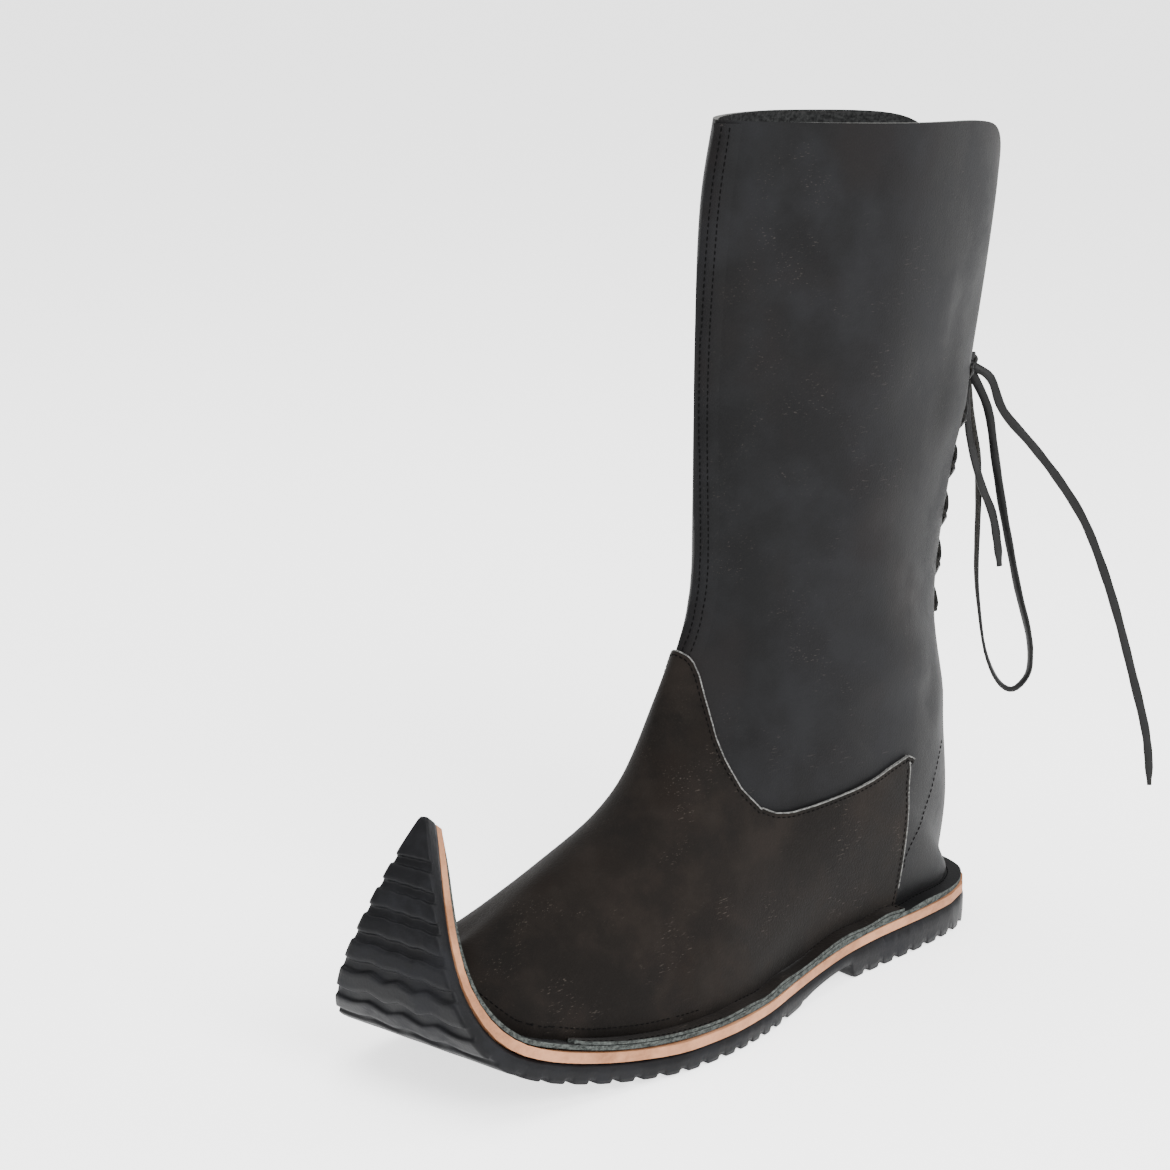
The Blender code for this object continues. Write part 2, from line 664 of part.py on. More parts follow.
def ribs(start, end, depth_at):
    """Stations of the wavy ribs between two lengths along the sole."""
    stations = []
    arc = start
    while arc + TREAD_PITCH <= end + 1e-9:
        from_end = min(arc - start, end - arc - TREAD_PITCH) / TREAD_PITCH
        wave = TREAD_WAVE * min(1.0, 0.2 + 0.6 * from_end)
        rib_end = arc + TREAD_RIB
        stations.append((arc, -depth_at(arc), wave))
        stations.append((rib_end, -depth_at(rib_end), wave))
        groove = rib_end + TREAD_DRAFT
        stations.append((groove, TREAD_DEPTH - depth_at(groove), wave))
        groove = arc + TREAD_PITCH - TREAD_DRAFT
        stations.append((groove, TREAD_DEPTH - depth_at(groove), wave))
        arc += TREAD_PITCH
    stations.append((arc, -depth_at(arc), stations[-1][2]))
    return stations


def make_outsole(material):
    """Moulded rubber sole: heel, raised waist and curled forefoot with wavy ribs."""
    heel_start = EDGES[0].arc * SOLE_LENGTH
    heel = ribs(heel_start + TREAD_MARGIN, HEEL_ARC - TREAD_MARGIN, lambda arc: ground(arc)[0])
    stations = [(heel_start, -HEEL_HEIGHT, 0.0)] + heel
    stations.append((HEEL_ARC, -ground(HEEL_ARC)[0], 0.0))
    stations.append((HEEL_ARC + BREAST_SLOPE, -rubber_depth(HEEL_ARC), 0.0))
    steps = 6
    for step in range(1, steps):
        arc = HEEL_ARC + (WAIST_END - HEEL_ARC) * step / steps
        stations.append((arc, -rubber_depth(arc), 0.0))
    stations += ribs(WAIST_END, TREAD_END * SOLE_LENGTH, rubber_depth)
    tip = EDGES[-1].arc * SOLE_LENGTH
    last = stations[-1][0]
    stations.append((last + (tip - last) * 0.6, -FOREFOOT_RUBBER, 0.0))
    stations.append((tip, -FOREFOOT_RUBBER, 0.0))
    return slab("outsole", stations, 0.0, 0.0, TREAD_CELLS, material)


def make_midsole(material):
    """Tan leather layer between the rubber and the upper's flange."""
    stations = []
    low, high = EDGES[0].arc * SOLE_LENGTH + MIDSOLE_INSET, EDGES[-1].arc * SOLE_LENGTH - MIDSOLE_INSET
    for share in (0.0, 0.043, 0.143, 0.32, 0.64, 1.14):
        start = low + share * HEEL_CLOSING
        stations.append((start, SEAT, 0.0))
    steps = 56
    for step in range(1, steps + 1):
        stations.append((start + (high - start) * step / steps, SEAT, 0.0))
    return slab("midsole", stations, MIDSOLE_TOP, MIDSOLE_INSET, 2, material)


def make_insole(material):
    """Sock lining on the midsole inside the upper."""
    form = bmesh.new()
    inset = UPPER_WALL + INSOLE_GAP
    low = MIDSOLE_TOP + SEAT
    loops = []
    for row in INSOLE_ROWS:
        edges = []
        for side in (-1.0, 1.0):
            arc, offset = feather(row, side, inset)
            edges.append((skewed(arc, offset), offset))
        right, left = edges
        loop = [place(*right, low), place(*left, low)]
        loop += [place(*left, low + INSOLE_THICKNESS), place(*right, low + INSOLE_THICKNESS)]
        loops.append([form.verts.new(point) for point in loop])
    join_rings(form, loops, True)
    form.faces.new(loops[0])
    form.faces.new(list(reversed(loops[-1])))
    return finish("insole", form, material)


def row_at(level):
    """Row of the shaft whose back edge is at a height."""
    low, high = float(SLIT_ROW), float(TOP_ROW)
    for _ in range(30):
        middle = 0.5 * (low + high)
        if base_point(middle, 1.0).z < level:
            low = middle
        else:
            high = middle
    return 0.5 * (low + high)


def hole_point(level, side):
    """Place of a lace hole on the shaft's outer face, clear of the leather."""
    row = row_at(level)
    turn = side * HOLE_SHARE
    return skin(row, turn) + outward(row, turn) * (SEAT + 1.15 * LACE_THICKNESS)


def back_point(level, across, over=0.0):
    """Point just behind the slit at a height, further out where one strap lies over another."""
    edge = base_point(row_at(level), 1.0)
    behind = SEAT + 1.25 * LACE_THICKNESS + over
    return Vector(((edge.x + LACE_THICKNESS) * across, edge.y + behind, level))


def strap(form, points, width, thickness):
    """Flat closed band along a few points, standing on edge against the shaft's back."""
    loops = []
    for index, point in enumerate(points):
        ahead = points[min(index + 1, len(points) - 1)] - points[max(index - 1, 0)]
        ahead.normalize()
        out = Vector((point.x * 6.0, 0.03, 0.0))
        out -= ahead * out.dot(ahead)
        out.normalize()
        wide = ahead.cross(out)
        corners = []
        for across, high in ((-1, -1), (1, -1), (1, 1), (-1, 1)):
            corners.append(point + wide * (0.5 * width * across) + out * (0.5 * thickness * high))
        loops.append([form.verts.new(corner) for corner in corners])
    join_rings(form, loops, True)
    form.faces.new(loops[0])
    form.faces.new(list(reversed(loops[-1])))


def crossing(low_level, high_level, side):
    """Points of one strap from a lower hole over the slit to a higher one."""
    rise = high_level - low_level
    return [
        hole_point(low_level, side),
        back_point(low_level + 0.22 * rise, side),
        back_point(low_level + 0.5 * rise, 0.0, LACE_THICKNESS * (0.5 if side > 0.0 else 0.9)),
        back_point(low_level + 0.78 * rise, -side),
        hole_point(high_level, -side),
    ]


def make_crossings(material):
    """The laced part of the lace: a bar and crossed straps up the slit, as one solid."""
    runs = [[
        hole_point(HOLE_LOW, 1.0),
        back_point(HOLE_LOW, 1.0),
        back_point(HOLE_LOW, -1.0),
        hole_point(HOLE_LOW, -1.0),
    ]]
    for index in range(HOLE_ROWS - 1):
        low = HOLE_LOW + index * HOLE_PITCH
        for side in (1.0, -1.0):
            runs.append(crossing(low, low + HOLE_PITCH, side))
    others = bpy.data.collections.new("straps")
    for number, points in enumerate(runs):
        form = bmesh.new()
        thickness = LACE_THICKNESS * (1.0 + 0.013 * number)
        strap(form, points, LACE_WIDTH * (1.0 - 0.009 * number), thickness)
        body = finish("lace_crossings" if number == 0 else "strap", form, material)
        if number:
            others.objects.link(body)
        else:
            first = body
    join = first.modifiers.new("join", "BOOLEAN")
    join.operation = "UNION"
    join.solver = "EXACT"
    join.operand_type = "COLLECTION"
    join.collection = others
    apply_modifiers(first)
    for body in list(others.objects):
        bpy.data.objects.remove(body)
    bpy.data.collections.remove(others)
    return first


def knot_centre():
    """Middle of the knot, behind the slit over the last crossing."""
    top = HOLE_LOW + (HOLE_ROWS - 1) * HOLE_PITCH
    edge = base_point(row_at(top), 1.0)
    stacked = SEAT + LACE_THICKNESS
    return Vector((KNOT_SHIFT, edge.y + stacked + 0.5 * KNOT_WIDTH, top - 0.1 * KNOT_HEIGHT))


def make_knot(material):
    """Tied knot as one rounded solid."""
    form = bmesh.new()
    bmesh.ops.create_icosphere(form, subdivisions=2, radius=0.5)
    centre = knot_centre()
    for vert in form.verts:
        bulge = 1.0 + 0.12 * math.sin(9.0 * vert.co.z + 2.0 * vert.co.x)
        vert.co.x *= KNOT_WIDTH * bulge
        vert.co.y *= KNOT_WIDTH * bulge
        vert.co.z *= KNOT_HEIGHT
        vert.co += centre
    return finish("lace_knot", form, material)


# Routes of the free lace, from the knot: sideways, back and up from its middle
LOOP_ROUTE = [
    (0.0027, 0.0030, -0.0062),
    (0.0068, 0.0076, -0.0200),
    (0.0090, 0.0113, -0.0420),
    (0.0112, 0.0150, -0.0640),
    (0.0136, 0.0190, -0.0845),
    (0.0163, 0.0235, -0.1065),
    (0.0190, 0.0282, -0.1250),
    (0.0200, 0.0299, -0.1370),
    (0.0195, 0.0290, -0.1475),
    (0.0160, 0.0229, -0.1540),
    (0.0120, 0.0163, -0.1490),
    (0.0082, 0.0110, -0.1340),
    (0.0058, 0.0080, -0.1120),
    (0.0046, 0.0070, -0.0970),
    (0.0042, 0.0070, -0.0800),
    (0.0040, 0.0070, -0.0610),
    (0.0032, 0.0058, -0.0410),
    (0.0010, 0.0034, -0.0250),
    (-0.0009, 0.0013, -0.0091),
]
END_ROUTE = [
    (0.0044, 0.0032, -0.0012),
    (0.0086, 0.0066, -0.0060),
    (0.0126, 0.0115, -0.0210),
    (0.0221, 0.0222, -0.0375),
    (0.0307, 0.0320, -0.0540),
    (0.0385, 0.0410, -0.0725),
    (0.0447, 0.0480, -0.0940),
    (0.0501, 0.0541, -0.1170),
    (0.0557, 0.0605, -0.1455),
    (0.0604, 0.0658, -0.1705),
    (0.0622, 0.0678, -0.1855),
    (0.0630, 0.0688, -0.2000),
]
SHORT_ROUTE = [
    (0.0024, -0.0022, -0.0076),
    (0.0040, -0.0034, -0.0200),
    (0.0052, -0.0022, -0.0330),
    (0.0076, 0.0034, -0.0530),
    (0.0096, 0.0106, -0.0690),
    (0.0110, 0.0133, -0.0830),
    (0.0118, 0.0146, -0.0940),
]


def cord(name, route, points_per_step, material):
    """Flat lace along a smooth curve through its route, as one closed band."""
    centre = knot_centre()
    steps = (len(route) - 1) * points_per_step
    line = [Vector(blend(route, step / points_per_step)) + centre for step in range(steps + 1)]
    curve = bpy.data.curves.new(name, "CURVE")
    curve.dimensions = "3D"
    curve.fill_mode = "FULL"
    curve.use_fill_caps = True
    curve.extrude = 0.5 * (LACE_WIDTH - LACE_THICKNESS)
    curve.bevel_depth = 0.5 * LACE_THICKNESS
    curve.bevel_resolution = 0
    spline = curve.splines.new("POLY")
    spline.points.add(len(line) - 1)
    for point, place_at in zip(spline.points, line):
        point.co = (*place_at, 1.0)
    shape = bpy.data.objects.new(name + "_curve", curve)
    bpy.context.scene.collection.objects.link(shape)
    graph = bpy.context.evaluated_depsgraph_get()
    form = bmesh.new()
    form.from_mesh(bpy.data.meshes.new_from_object(shape.evaluated_get(graph)))
    bpy.data.objects.remove(shape)
    return finish(name, form, material)


def move_over_origin(bodies, lace):
    """Shift all so that the middle of the boot, its free lace apart, stands over the origin."""
    spots = [vertex.co for body in bodies for vertex in body.data.vertices]
    low = Vector([min(spot[axis] for spot in spots) for axis in range(3)])
    high = Vector([max(spot[axis] for spot in spots) for axis in range(3)])
    middle = Vector((0.5 * (low.x + high.x), 0.5 * (low.y + high.y), 0.0))
    for body in bodies + lace:
        for vertex in body.data.vertices:
            vertex.co -= middle
        body.data.update()


def soften(body):
    """Smooth shading with sharp edges kept."""
    body.data.shade_smooth()
    body.data.set_sharp_from_angle(angle=math.radians(40.0))


def build():
    """Make every piece of the boot."""
    for old in list(bpy.data.objects):
        bpy.data.objects.remove(old)
    rubber = paint("rubber_black", (0.020, 0.020, 0.024), 0.6)
    tan = paint("leather_tan", (0.62, 0.40, 0.27), 0.65)
    black = paint("leather_black", (0.022, 0.022, 0.025), 0.5)
    brown = paint("leather_brown", (0.030, 0.022, 0.018), 0.75)
    lining = paint("leather_lining", (0.060, 0.058, 0.058), 0.9)
    lace = paint("leather_lace", (0.030, 0.028, 0.028), 0.7)
    bodies = [
        make_outsole(rubber),
        make_midsole(tan),
        make_upper(black),
        make_vamp(brown),
        make_insole(lining),
        make_crossings(lace),
    ]
    free_lace = [
        make_knot(lace.copy()),
        cord("lace_loop", LOOP_ROUTE, 2, lace.copy()),
        cord("lace_end", END_ROUTE, 2, lace.copy()),
        cord("lace_short_end", SHORT_ROUTE, 3, lace.copy()),
    ]
    move_over_origin(bodies, free_lace)
    for body in bodies + free_lace:
        soften(body)


build()
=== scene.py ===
"""Tall back-laced boot with a curled pointed toe: dressed model, camera, floor and light.

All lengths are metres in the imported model's own frame: toe to -Y, outer side to +X, up +Z.
"""
import json
import logging
import math
from dataclasses import dataclass, field
from enum import Enum
from typing import Callable, Iterable, Optional, Sequence

import bmesh
import bpy
from bmesh.types import BMEdge, BMesh, BMFace, BMVert
from bpy.types import Material, Mesh, Node, NodeSocket, NodeTree, Object
from mathutils import Matrix, Vector
from mathutils.bvhtree import BVHTree

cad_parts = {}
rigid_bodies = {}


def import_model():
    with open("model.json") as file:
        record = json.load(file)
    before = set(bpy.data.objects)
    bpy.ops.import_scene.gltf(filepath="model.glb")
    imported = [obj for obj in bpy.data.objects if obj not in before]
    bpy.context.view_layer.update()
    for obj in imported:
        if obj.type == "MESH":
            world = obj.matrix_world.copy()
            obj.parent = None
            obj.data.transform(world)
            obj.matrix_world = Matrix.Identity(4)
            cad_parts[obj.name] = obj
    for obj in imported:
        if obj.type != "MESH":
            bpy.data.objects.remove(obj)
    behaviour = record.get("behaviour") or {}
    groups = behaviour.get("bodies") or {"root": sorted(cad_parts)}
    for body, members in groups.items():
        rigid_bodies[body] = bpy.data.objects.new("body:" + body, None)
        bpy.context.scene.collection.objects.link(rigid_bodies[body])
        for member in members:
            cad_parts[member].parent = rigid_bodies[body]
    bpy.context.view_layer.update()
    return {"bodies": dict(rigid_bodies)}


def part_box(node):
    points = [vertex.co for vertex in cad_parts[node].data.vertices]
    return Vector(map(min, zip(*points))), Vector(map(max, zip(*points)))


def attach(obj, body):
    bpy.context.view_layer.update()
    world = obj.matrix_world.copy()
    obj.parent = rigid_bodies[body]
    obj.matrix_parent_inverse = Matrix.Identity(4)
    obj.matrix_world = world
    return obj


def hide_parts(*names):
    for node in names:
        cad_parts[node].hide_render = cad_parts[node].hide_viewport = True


logging.basicConfig(level=logging.INFO, format="%(message)s")
log = logging.getLogger("boot")

BODY = "root"
WELD = 0.00002
Colour = tuple[float, float, float]
Point = tuple[float, float, float]


class Slot(Enum):
    """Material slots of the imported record."""

    RUBBER = "rubber"
    TAN = "tan_leather"
    BLACK = "black_leather"
    BROWN = "brown_leather"
    LINING = "lining_leather"
    LACE = "lace_leather"


class Face(Enum):
    """What a face of cut leather shows, as the number of its material."""

    GRAIN = 0
    CUT = 1
    FLESH = 2
    FLANGE = 3


def linear(colour: Colour) -> tuple[float, float, float, float]:
    """Turn a colour in screen values into the shader's linear ones.

    Args:
        colour: red, green and blue from 0 to 1 as seen on a screen.

    Returns:
        The linear colour with full cover.
    """
    channels = [c / 12.92 if c <= 0.04045 else ((c + 0.055) / 1.055) ** 2.4 for c in colour]
    return channels[0], channels[1], channels[2], 1.0


@dataclass
class Sheet:
    """A node tree with short ways to add and join its nodes."""

    tree: NodeTree

    def add(self, kind: str, **settings: object) -> Node:
        """Add a node and set its own settings."""
        node = self.tree.nodes.new(kind)
        for name, value in settings.items():
            setattr(node, name, value)
        return node

    def join(self, start: NodeSocket, end: NodeSocket) -> None:
        """Join an output to an input."""
        self.tree.links.new(start, end)

    def feed(self, socket: NodeSocket, value: object) -> None:
        """Join a socket or set a plain value on an input."""
        if isinstance(value, NodeSocket):
            self.join(value, socket)
        else:
            socket.default_value = value

    def noise(self, place: object, scale: object, detail: float = 4.0, rough: float = 0.55) -> NodeSocket:
        """Soft noise read at a place."""
        node = self.add("ShaderNodeTexNoise")
        self.feed(node.inputs["Vector"], place)
        self.feed(node.inputs["Scale"], scale)
        node.inputs["Detail"].default_value = detail
        node.inputs["Roughness"].default_value = rough
        return node.outputs["Fac"]

    def cells(self, place: object, scale: object) -> NodeSocket:
        """Distance to the nearest cell point."""
        node = self.add("ShaderNodeTexVoronoi", feature="F1")
        self.feed(node.inputs["Vector"], place)
        self.feed(node.inputs["Scale"], scale)
        return node.outputs["Distance"]

    def ramp(
        self, value: object, low: float, high: float, start: float = 0.0, end: float = 1.0,
    ) -> NodeSocket:
        """Smooth step of a value from one range to another."""
        node = self.add("ShaderNodeMapRange", interpolation_type="SMOOTHSTEP")
        self.feed(node.inputs["Value"], value)
        for name, number in zip(("From Min", "From Max", "To Min", "To Max"), (low, high, start, end)):
            node.inputs[name].default_value = number
        return node.outputs["Result"]

    def math(self, operation: str, first: object, second: object) -> NodeSocket:
        """Arithmetic on two values."""
        node = self.add("ShaderNodeMath", operation=operation)
        self.feed(node.inputs[0], first)
        self.feed(node.inputs[1], second)
        return node.outputs[0]

    def mix(self, share: object, first: object, second: object) -> NodeSocket:
        """Mix two colours."""
        node = self.add("ShaderNodeMix", data_type="RGBA")
        self.feed(node.inputs[0], share)
        self.feed(node.inputs[6], first)
        self.feed(node.inputs[7], second)
        return node.outputs[2]

    def turn(self, place: object, angles: Point, scale: Point) -> NodeSocket:
        """Turn and stretch a place."""
        node = self.add("ShaderNodeMapping")
        self.feed(node.inputs["Vector"], place)
        node.inputs["Rotation"].default_value = angles
        node.inputs["Scale"].default_value = scale
        return node.outputs["Vector"]


class Effects:
    """Shader groups that several materials share, each built once."""

    @staticmethod
    def start(
        name: str, inputs: Sequence[tuple[str, str]], outputs: Sequence[tuple[str, str]],
    ) -> tuple[NodeTree, Sheet, Node, Node]:
        """Begin a group with its named sockets.

        Args:
            name: name of the group.
            inputs: name and kind of each input.
            outputs: name and kind of each output.

        Returns:
            The group, a sheet on it, its input node and its output node.
        """
        group = bpy.data.node_groups.new(name, "ShaderNodeTree")
        for label, kind in inputs:
            group.interface.new_socket(name=label, in_out="INPUT", socket_type=kind)
        for label, kind in outputs:
            group.interface.new_socket(name=label, in_out="OUTPUT", socket_type=kind)
        sheet = Sheet(group)
        return group, sheet, sheet.add("NodeGroupInput"), sheet.add("NodeGroupOutput")

    @classmethod
    def clouds(cls) -> NodeTree:
        """Cloudy tone of waxed leather: dark, pale and warm patches."""
        if "cloudy_tone" in bpy.data.node_groups:
            return bpy.data.node_groups["cloudy_tone"]
        group, sheet, given, result = cls.start(
            "cloudy_tone",
            [("Vector", "NodeSocketVector"), ("Scale", "NodeSocketFloat"), ("Dark", "NodeSocketColor"),
             ("Pale", "NodeSocketColor"), ("Warm", "NodeSocketColor"), ("Lift", "NodeSocketFloat")],
            [("Color", "NodeSocketColor"), ("Patch", "NodeSocketFloat")],
        )
        place, scale = given.outputs["Vector"], given.outputs["Scale"]
        broad = sheet.ramp(sheet.noise(place, scale, 5.0, 0.6), 0.38, 0.70)
        lifted = sheet.math("MINIMUM", sheet.math("ADD", broad, given.outputs["Lift"]), 1.0)
        tone = sheet.mix(lifted, given.outputs["Dark"], given.outputs["Pale"])
        moved = sheet.turn(place, (0.7, 1.9, 0.4), (1.0, 1.0, 1.0))
        warm = sheet.ramp(sheet.noise(moved, sheet.math("MULTIPLY", scale, 0.7), 3.0), 0.50, 0.72, 0.0, 0.8)
        sheet.join(sheet.mix(warm, tone, given.outputs["Warm"]), result.inputs["Color"])
        sheet.join(lifted, result.inputs["Patch"])
        return group

    @classmethod
    def grain(cls) -> NodeTree:
        """Fine grain of leather: small cells with a soft roughness over them."""
        if "leather_grain" in bpy.data.node_groups:
            return bpy.data.node_groups["leather_grain"]
        group, sheet, given, result = cls.start(
            "leather_grain",
            [("Vector", "NodeSocketVector"), ("Scale", "NodeSocketFloat")],
            [("Height", "NodeSocketFloat"), ("Fleck", "NodeSocketFloat")],
        )
        place, scale = given.outputs["Vector"], given.outputs["Scale"]
        cells = sheet.cells(place, scale)
        fuzz = sheet.noise(place, sheet.math("MULTIPLY", scale, 1.7), 3.0, 0.7)
        slow = sheet.noise(place, sheet.math("MULTIPLY", scale, 0.12), 3.0, 0.5)
        height = sheet.math("ADD", sheet.math("MULTIPLY", cells, 0.5), sheet.math("MULTIPLY", fuzz, 0.5))
        sheet.join(sheet.math("ADD", height, slow), result.inputs["Height"])
        sheet.join(sheet.ramp(fuzz, 0.60, 0.78), result.inputs["Fleck"])
        return group

    @classmethod
    def scuffs(cls) -> NodeTree:
        """Short pale scratches that lie in a few directions, in scattered patches."""
        if "scuffs" in bpy.data.node_groups:
            return bpy.data.node_groups["scuffs"]
        group, sheet, given, result = cls.start(
            "scuffs",
            [("Vector", "NodeSocketVector"), ("Scale", "NodeSocketFloat")],
            [("Mask", "NodeSocketFloat")],
        )
        place, scale = given.outputs["Vector"], given.outputs["Scale"]
        total: Optional[NodeSocket] = None
        for angles in ((0.3, 0.5, 0.2), (1.1, -0.4, 0.9), (-0.6, 0.2, 2.0)):
            drawn = sheet.turn(place, angles, (1.0, 0.13, 1.0))
            mark = sheet.ramp(sheet.noise(drawn, scale, 2.0, 0.4), 0.68, 0.75)
            total = mark if total is None else sheet.math("MAXIMUM", total, mark)
        where = sheet.ramp(sheet.noise(place, sheet.math("MULTIPLY", scale, 0.03), 3.0), 0.48, 0.66)
        sheet.join(sheet.math("MULTIPLY", total, where), result.inputs["Mask"])
        return group

    @classmethod
    def fibres(cls) -> NodeTree:
        """Cut edge or flesh side of leather: short fibres and pits."""
        if "fibres" in bpy.data.node_groups:
            return bpy.data.node_groups["fibres"]
        group, sheet, given, result = cls.start(
            "fibres",
            [("Vector", "NodeSocketVector"), ("Scale", "NodeSocketFloat")],
            [("Tone", "NodeSocketFloat"), ("Height", "NodeSocketFloat")],
        )
        place, scale = given.outputs["Vector"], given.outputs["Scale"]
        fine = sheet.noise(place, scale, 6.0, 0.75)
        long = sheet.noise(sheet.turn(place, (0.4, 0.2, 0.9), (1.0, 0.3, 1.0)), scale, 3.0, 0.6)
        blend = sheet.math("ADD", sheet.math("MULTIPLY", fine, 0.6), sheet.math("MULTIPLY", long, 0.4))
        sheet.join(sheet.ramp(blend, 0.36, 0.64), result.inputs["Tone"])
        sheet.join(blend, result.inputs["Height"])
        return group


@dataclass(frozen=True)
class Finish:
    """What every finish has: its name, and how rough and shiny it is."""

    name: str
    rough: float = 0.6
    shine: float = 0.4

    def begin(self) -> tuple[Material, Sheet, Node, NodeSocket]:
        """Start a material with its shader and object coordinates.

        Returns:
            The material, a sheet on its nodes, its shader and the place socket.
        """
        material = bpy.data.materials.new(self.name)
        material.use_nodes = True
        sheet = Sheet(material.node_tree)
        material.node_tree.nodes.clear()
        shader = sheet.add("ShaderNodeBsdfPrincipled")
        shader.inputs["Roughness"].default_value = self.rough
        shader.inputs["Specular IOR Level"].default_value = self.shine
        sheet.join(shader.outputs["BSDF"], sheet.add("ShaderNodeOutputMaterial").inputs["Surface"])
        return material, sheet, shader, sheet.add("ShaderNodeTexCoord").outputs["Object"]

    @staticmethod
    def use(sheet: Sheet, group: NodeTree, **values: object) -> Node:
        """Place a shared group and set or join its inputs."""
        node = sheet.add("ShaderNodeGroup", node_tree=group)
        for name, value in values.items():
            sheet.feed(node.inputs[name], value)
        return node

    @staticmethod
    def bump(sheet: Sheet, shader: Node, height: NodeSocket, depth: float) -> None:
        """Raise the surface by a height, depth in metres for a full step."""
        node = sheet.add("ShaderNodeBump")
        node.inputs["Strength"].default_value = 1.0
        node.inputs["Distance"].default_value = depth
        sheet.join(height, node.inputs["Height"])
        sheet.join(node.outputs["Normal"], shader.inputs["Normal"])


@dataclass(frozen=True)
class WaxedLeather(Finish):
    """Waxed leather with cloudy tone, fine grain, rubbed places and pale scuffs."""

    dark: Colour = (0.034, 0.034, 0.037)
    pale: Colour = (0.080, 0.081, 0.087)
    warm: Colour = (0.062, 0.053, 0.053)
    mark: Colour = (0.30, 0.28, 0.26)
    cloud_scale: float = 26.0
    grain_scale: float = 1100.0
    scuff_scale: float = 1500.0
    scuff_share: float = 0.22
    fleck_share: float = 0.05
    relief: float = 0.00010
    sheen: float = 0.02

    def build(self) -> Material:
        """Build the material."""
        material, sheet, shader, place = self.begin()
        rub = sheet.add("ShaderNodeAttribute", attribute_name="rub", attribute_type="GEOMETRY").outputs["Fac"]
        tone = self.use(
            sheet, Effects.clouds(), Vector=place, Scale=self.cloud_scale, Dark=linear(self.dark),
            Pale=linear(self.pale), Warm=linear(self.warm), Lift=rub,
        )
        grain = self.use(sheet, Effects.grain(), Vector=place, Scale=self.grain_scale)
        scuffs = self.use(sheet, Effects.scuffs(), Vector=place, Scale=self.scuff_scale)
        flecks = sheet.math("MULTIPLY", grain.outputs["Fleck"], self.fleck_share)
        lines = sheet.math("MULTIPLY", scuffs.outputs["Mask"], self.scuff_share)
        marks = sheet.math("MINIMUM", sheet.math("ADD", flecks, lines), 1.0)
        sheet.join(sheet.mix(marks, tone.outputs["Color"], linear(self.mark)), shader.inputs["Base Color"])
        rough = sheet.ramp(tone.outputs["Patch"], 0.0, 1.0, self.rough - 0.06, self.rough + 0.06)
        sheet.join(rough, shader.inputs["Roughness"])
        shader.inputs["Sheen Weight"].default_value = self.sheen
        shader.inputs["Sheen Roughness"].default_value = 0.45
        self.bump(sheet, shader, grain.outputs["Height"], self.relief)
        return material


@dataclass(frozen=True)
class RawLeather(Finish):
    """Cut edge, flesh side or sock lining: matt and fibrous."""

    dark: Colour = (0.22, 0.24, 0.24)
    pale: Colour = (0.48, 0.50, 0.49)
    scale: float = 900.0
    relief: float = 0.0003
    sheen: float = 0.2

    def build(self) -> Material:
        """Build the material."""
        material, sheet, shader, place = self.begin()
        fibre = self.use(sheet, Effects.fibres(), Vector=place, Scale=self.scale)
        tone = sheet.mix(fibre.outputs["Tone"], linear(self.dark), linear(self.pale))
        sheet.join(tone, shader.inputs["Base Color"])
        shader.inputs["Sheen Weight"].default_value = self.sheen
        shader.inputs["Sheen Roughness"].default_value = 0.6
        self.bump(sheet, shader, fibre.outputs["Height"], self.relief)
        return material


@dataclass(frozen=True)
class TannedEdge(Finish):
    """Vegetable-tanned sole leather, cut and sanded: pale with layers along its edge."""

    dark: Colour = (0.50, 0.33, 0.22)
    pale: Colour = (0.68, 0.48, 0.35)
    relief: float = 0.00015

    def build(self) -> Material:
        """Build the material."""
        material, sheet, shader, place = self.begin()
        fibre = self.use(sheet, Effects.fibres(), Vector=place, Scale=620.0)
        slow = sheet.ramp(sheet.noise(place, 45.0, 3.0), 0.35, 0.68)
        near, far = sheet.math("MULTIPLY", fibre.outputs["Tone"], 0.35), sheet.math("MULTIPLY", slow, 0.65)
        share = sheet.math("ADD", near, far)
        sheet.join(sheet.mix(share, linear(self.dark), linear(self.pale)), shader.inputs["Base Color"])
        self.bump(sheet, shader, fibre.outputs["Height"], self.relief)
        return material


@dataclass(frozen=True)
class MouldedRubber(Finish):
    """Bluish black moulded rubber with a dusty bloom."""

    dark: Colour = (0.045, 0.046, 0.053)
    pale: Colour = (0.085, 0.087, 0.098)
    relief: float = 0.00008

    def build(self) -> Material:
        """Build the material."""
        material, sheet, shader, place = self.begin()
        bloom = sheet.ramp(sheet.noise(place, 60.0, 5.0, 0.65), 0.42, 0.72)
        sheet.join(sheet.mix(bloom, linear(self.dark), linear(self.pale)), shader.inputs["Base Color"])
        rough = sheet.ramp(bloom, 0.0, 1.0, self.rough - 0.08, self.rough + 0.1)
        sheet.join(rough, shader.inputs["Roughness"])
        grain = self.use(sheet, Effects.grain(), Vector=place, Scale=700.0)
        self.bump(sheet, shader, grain.outputs["Height"], self.relief)
        return material


@dataclass(frozen=True)
class Thread(Finish):
    """Waxed black thread."""

    colour: Colour = (0.015, 0.015, 0.015)

    def build(self) -> Material:
        """Build the material."""
        material, sheet, shader, place = self.begin()
        fibre = self.use(sheet, Effects.fibres(), Vector=place, Scale=2500.0)
        pale = tuple(min(1.0, channel * 1.9) for channel in self.colour)
        tone = sheet.mix(fibre.outputs["Tone"], linear(self.colour), linear(pale))
        sheet.join(tone, shader.inputs["Base Color"])
        return material


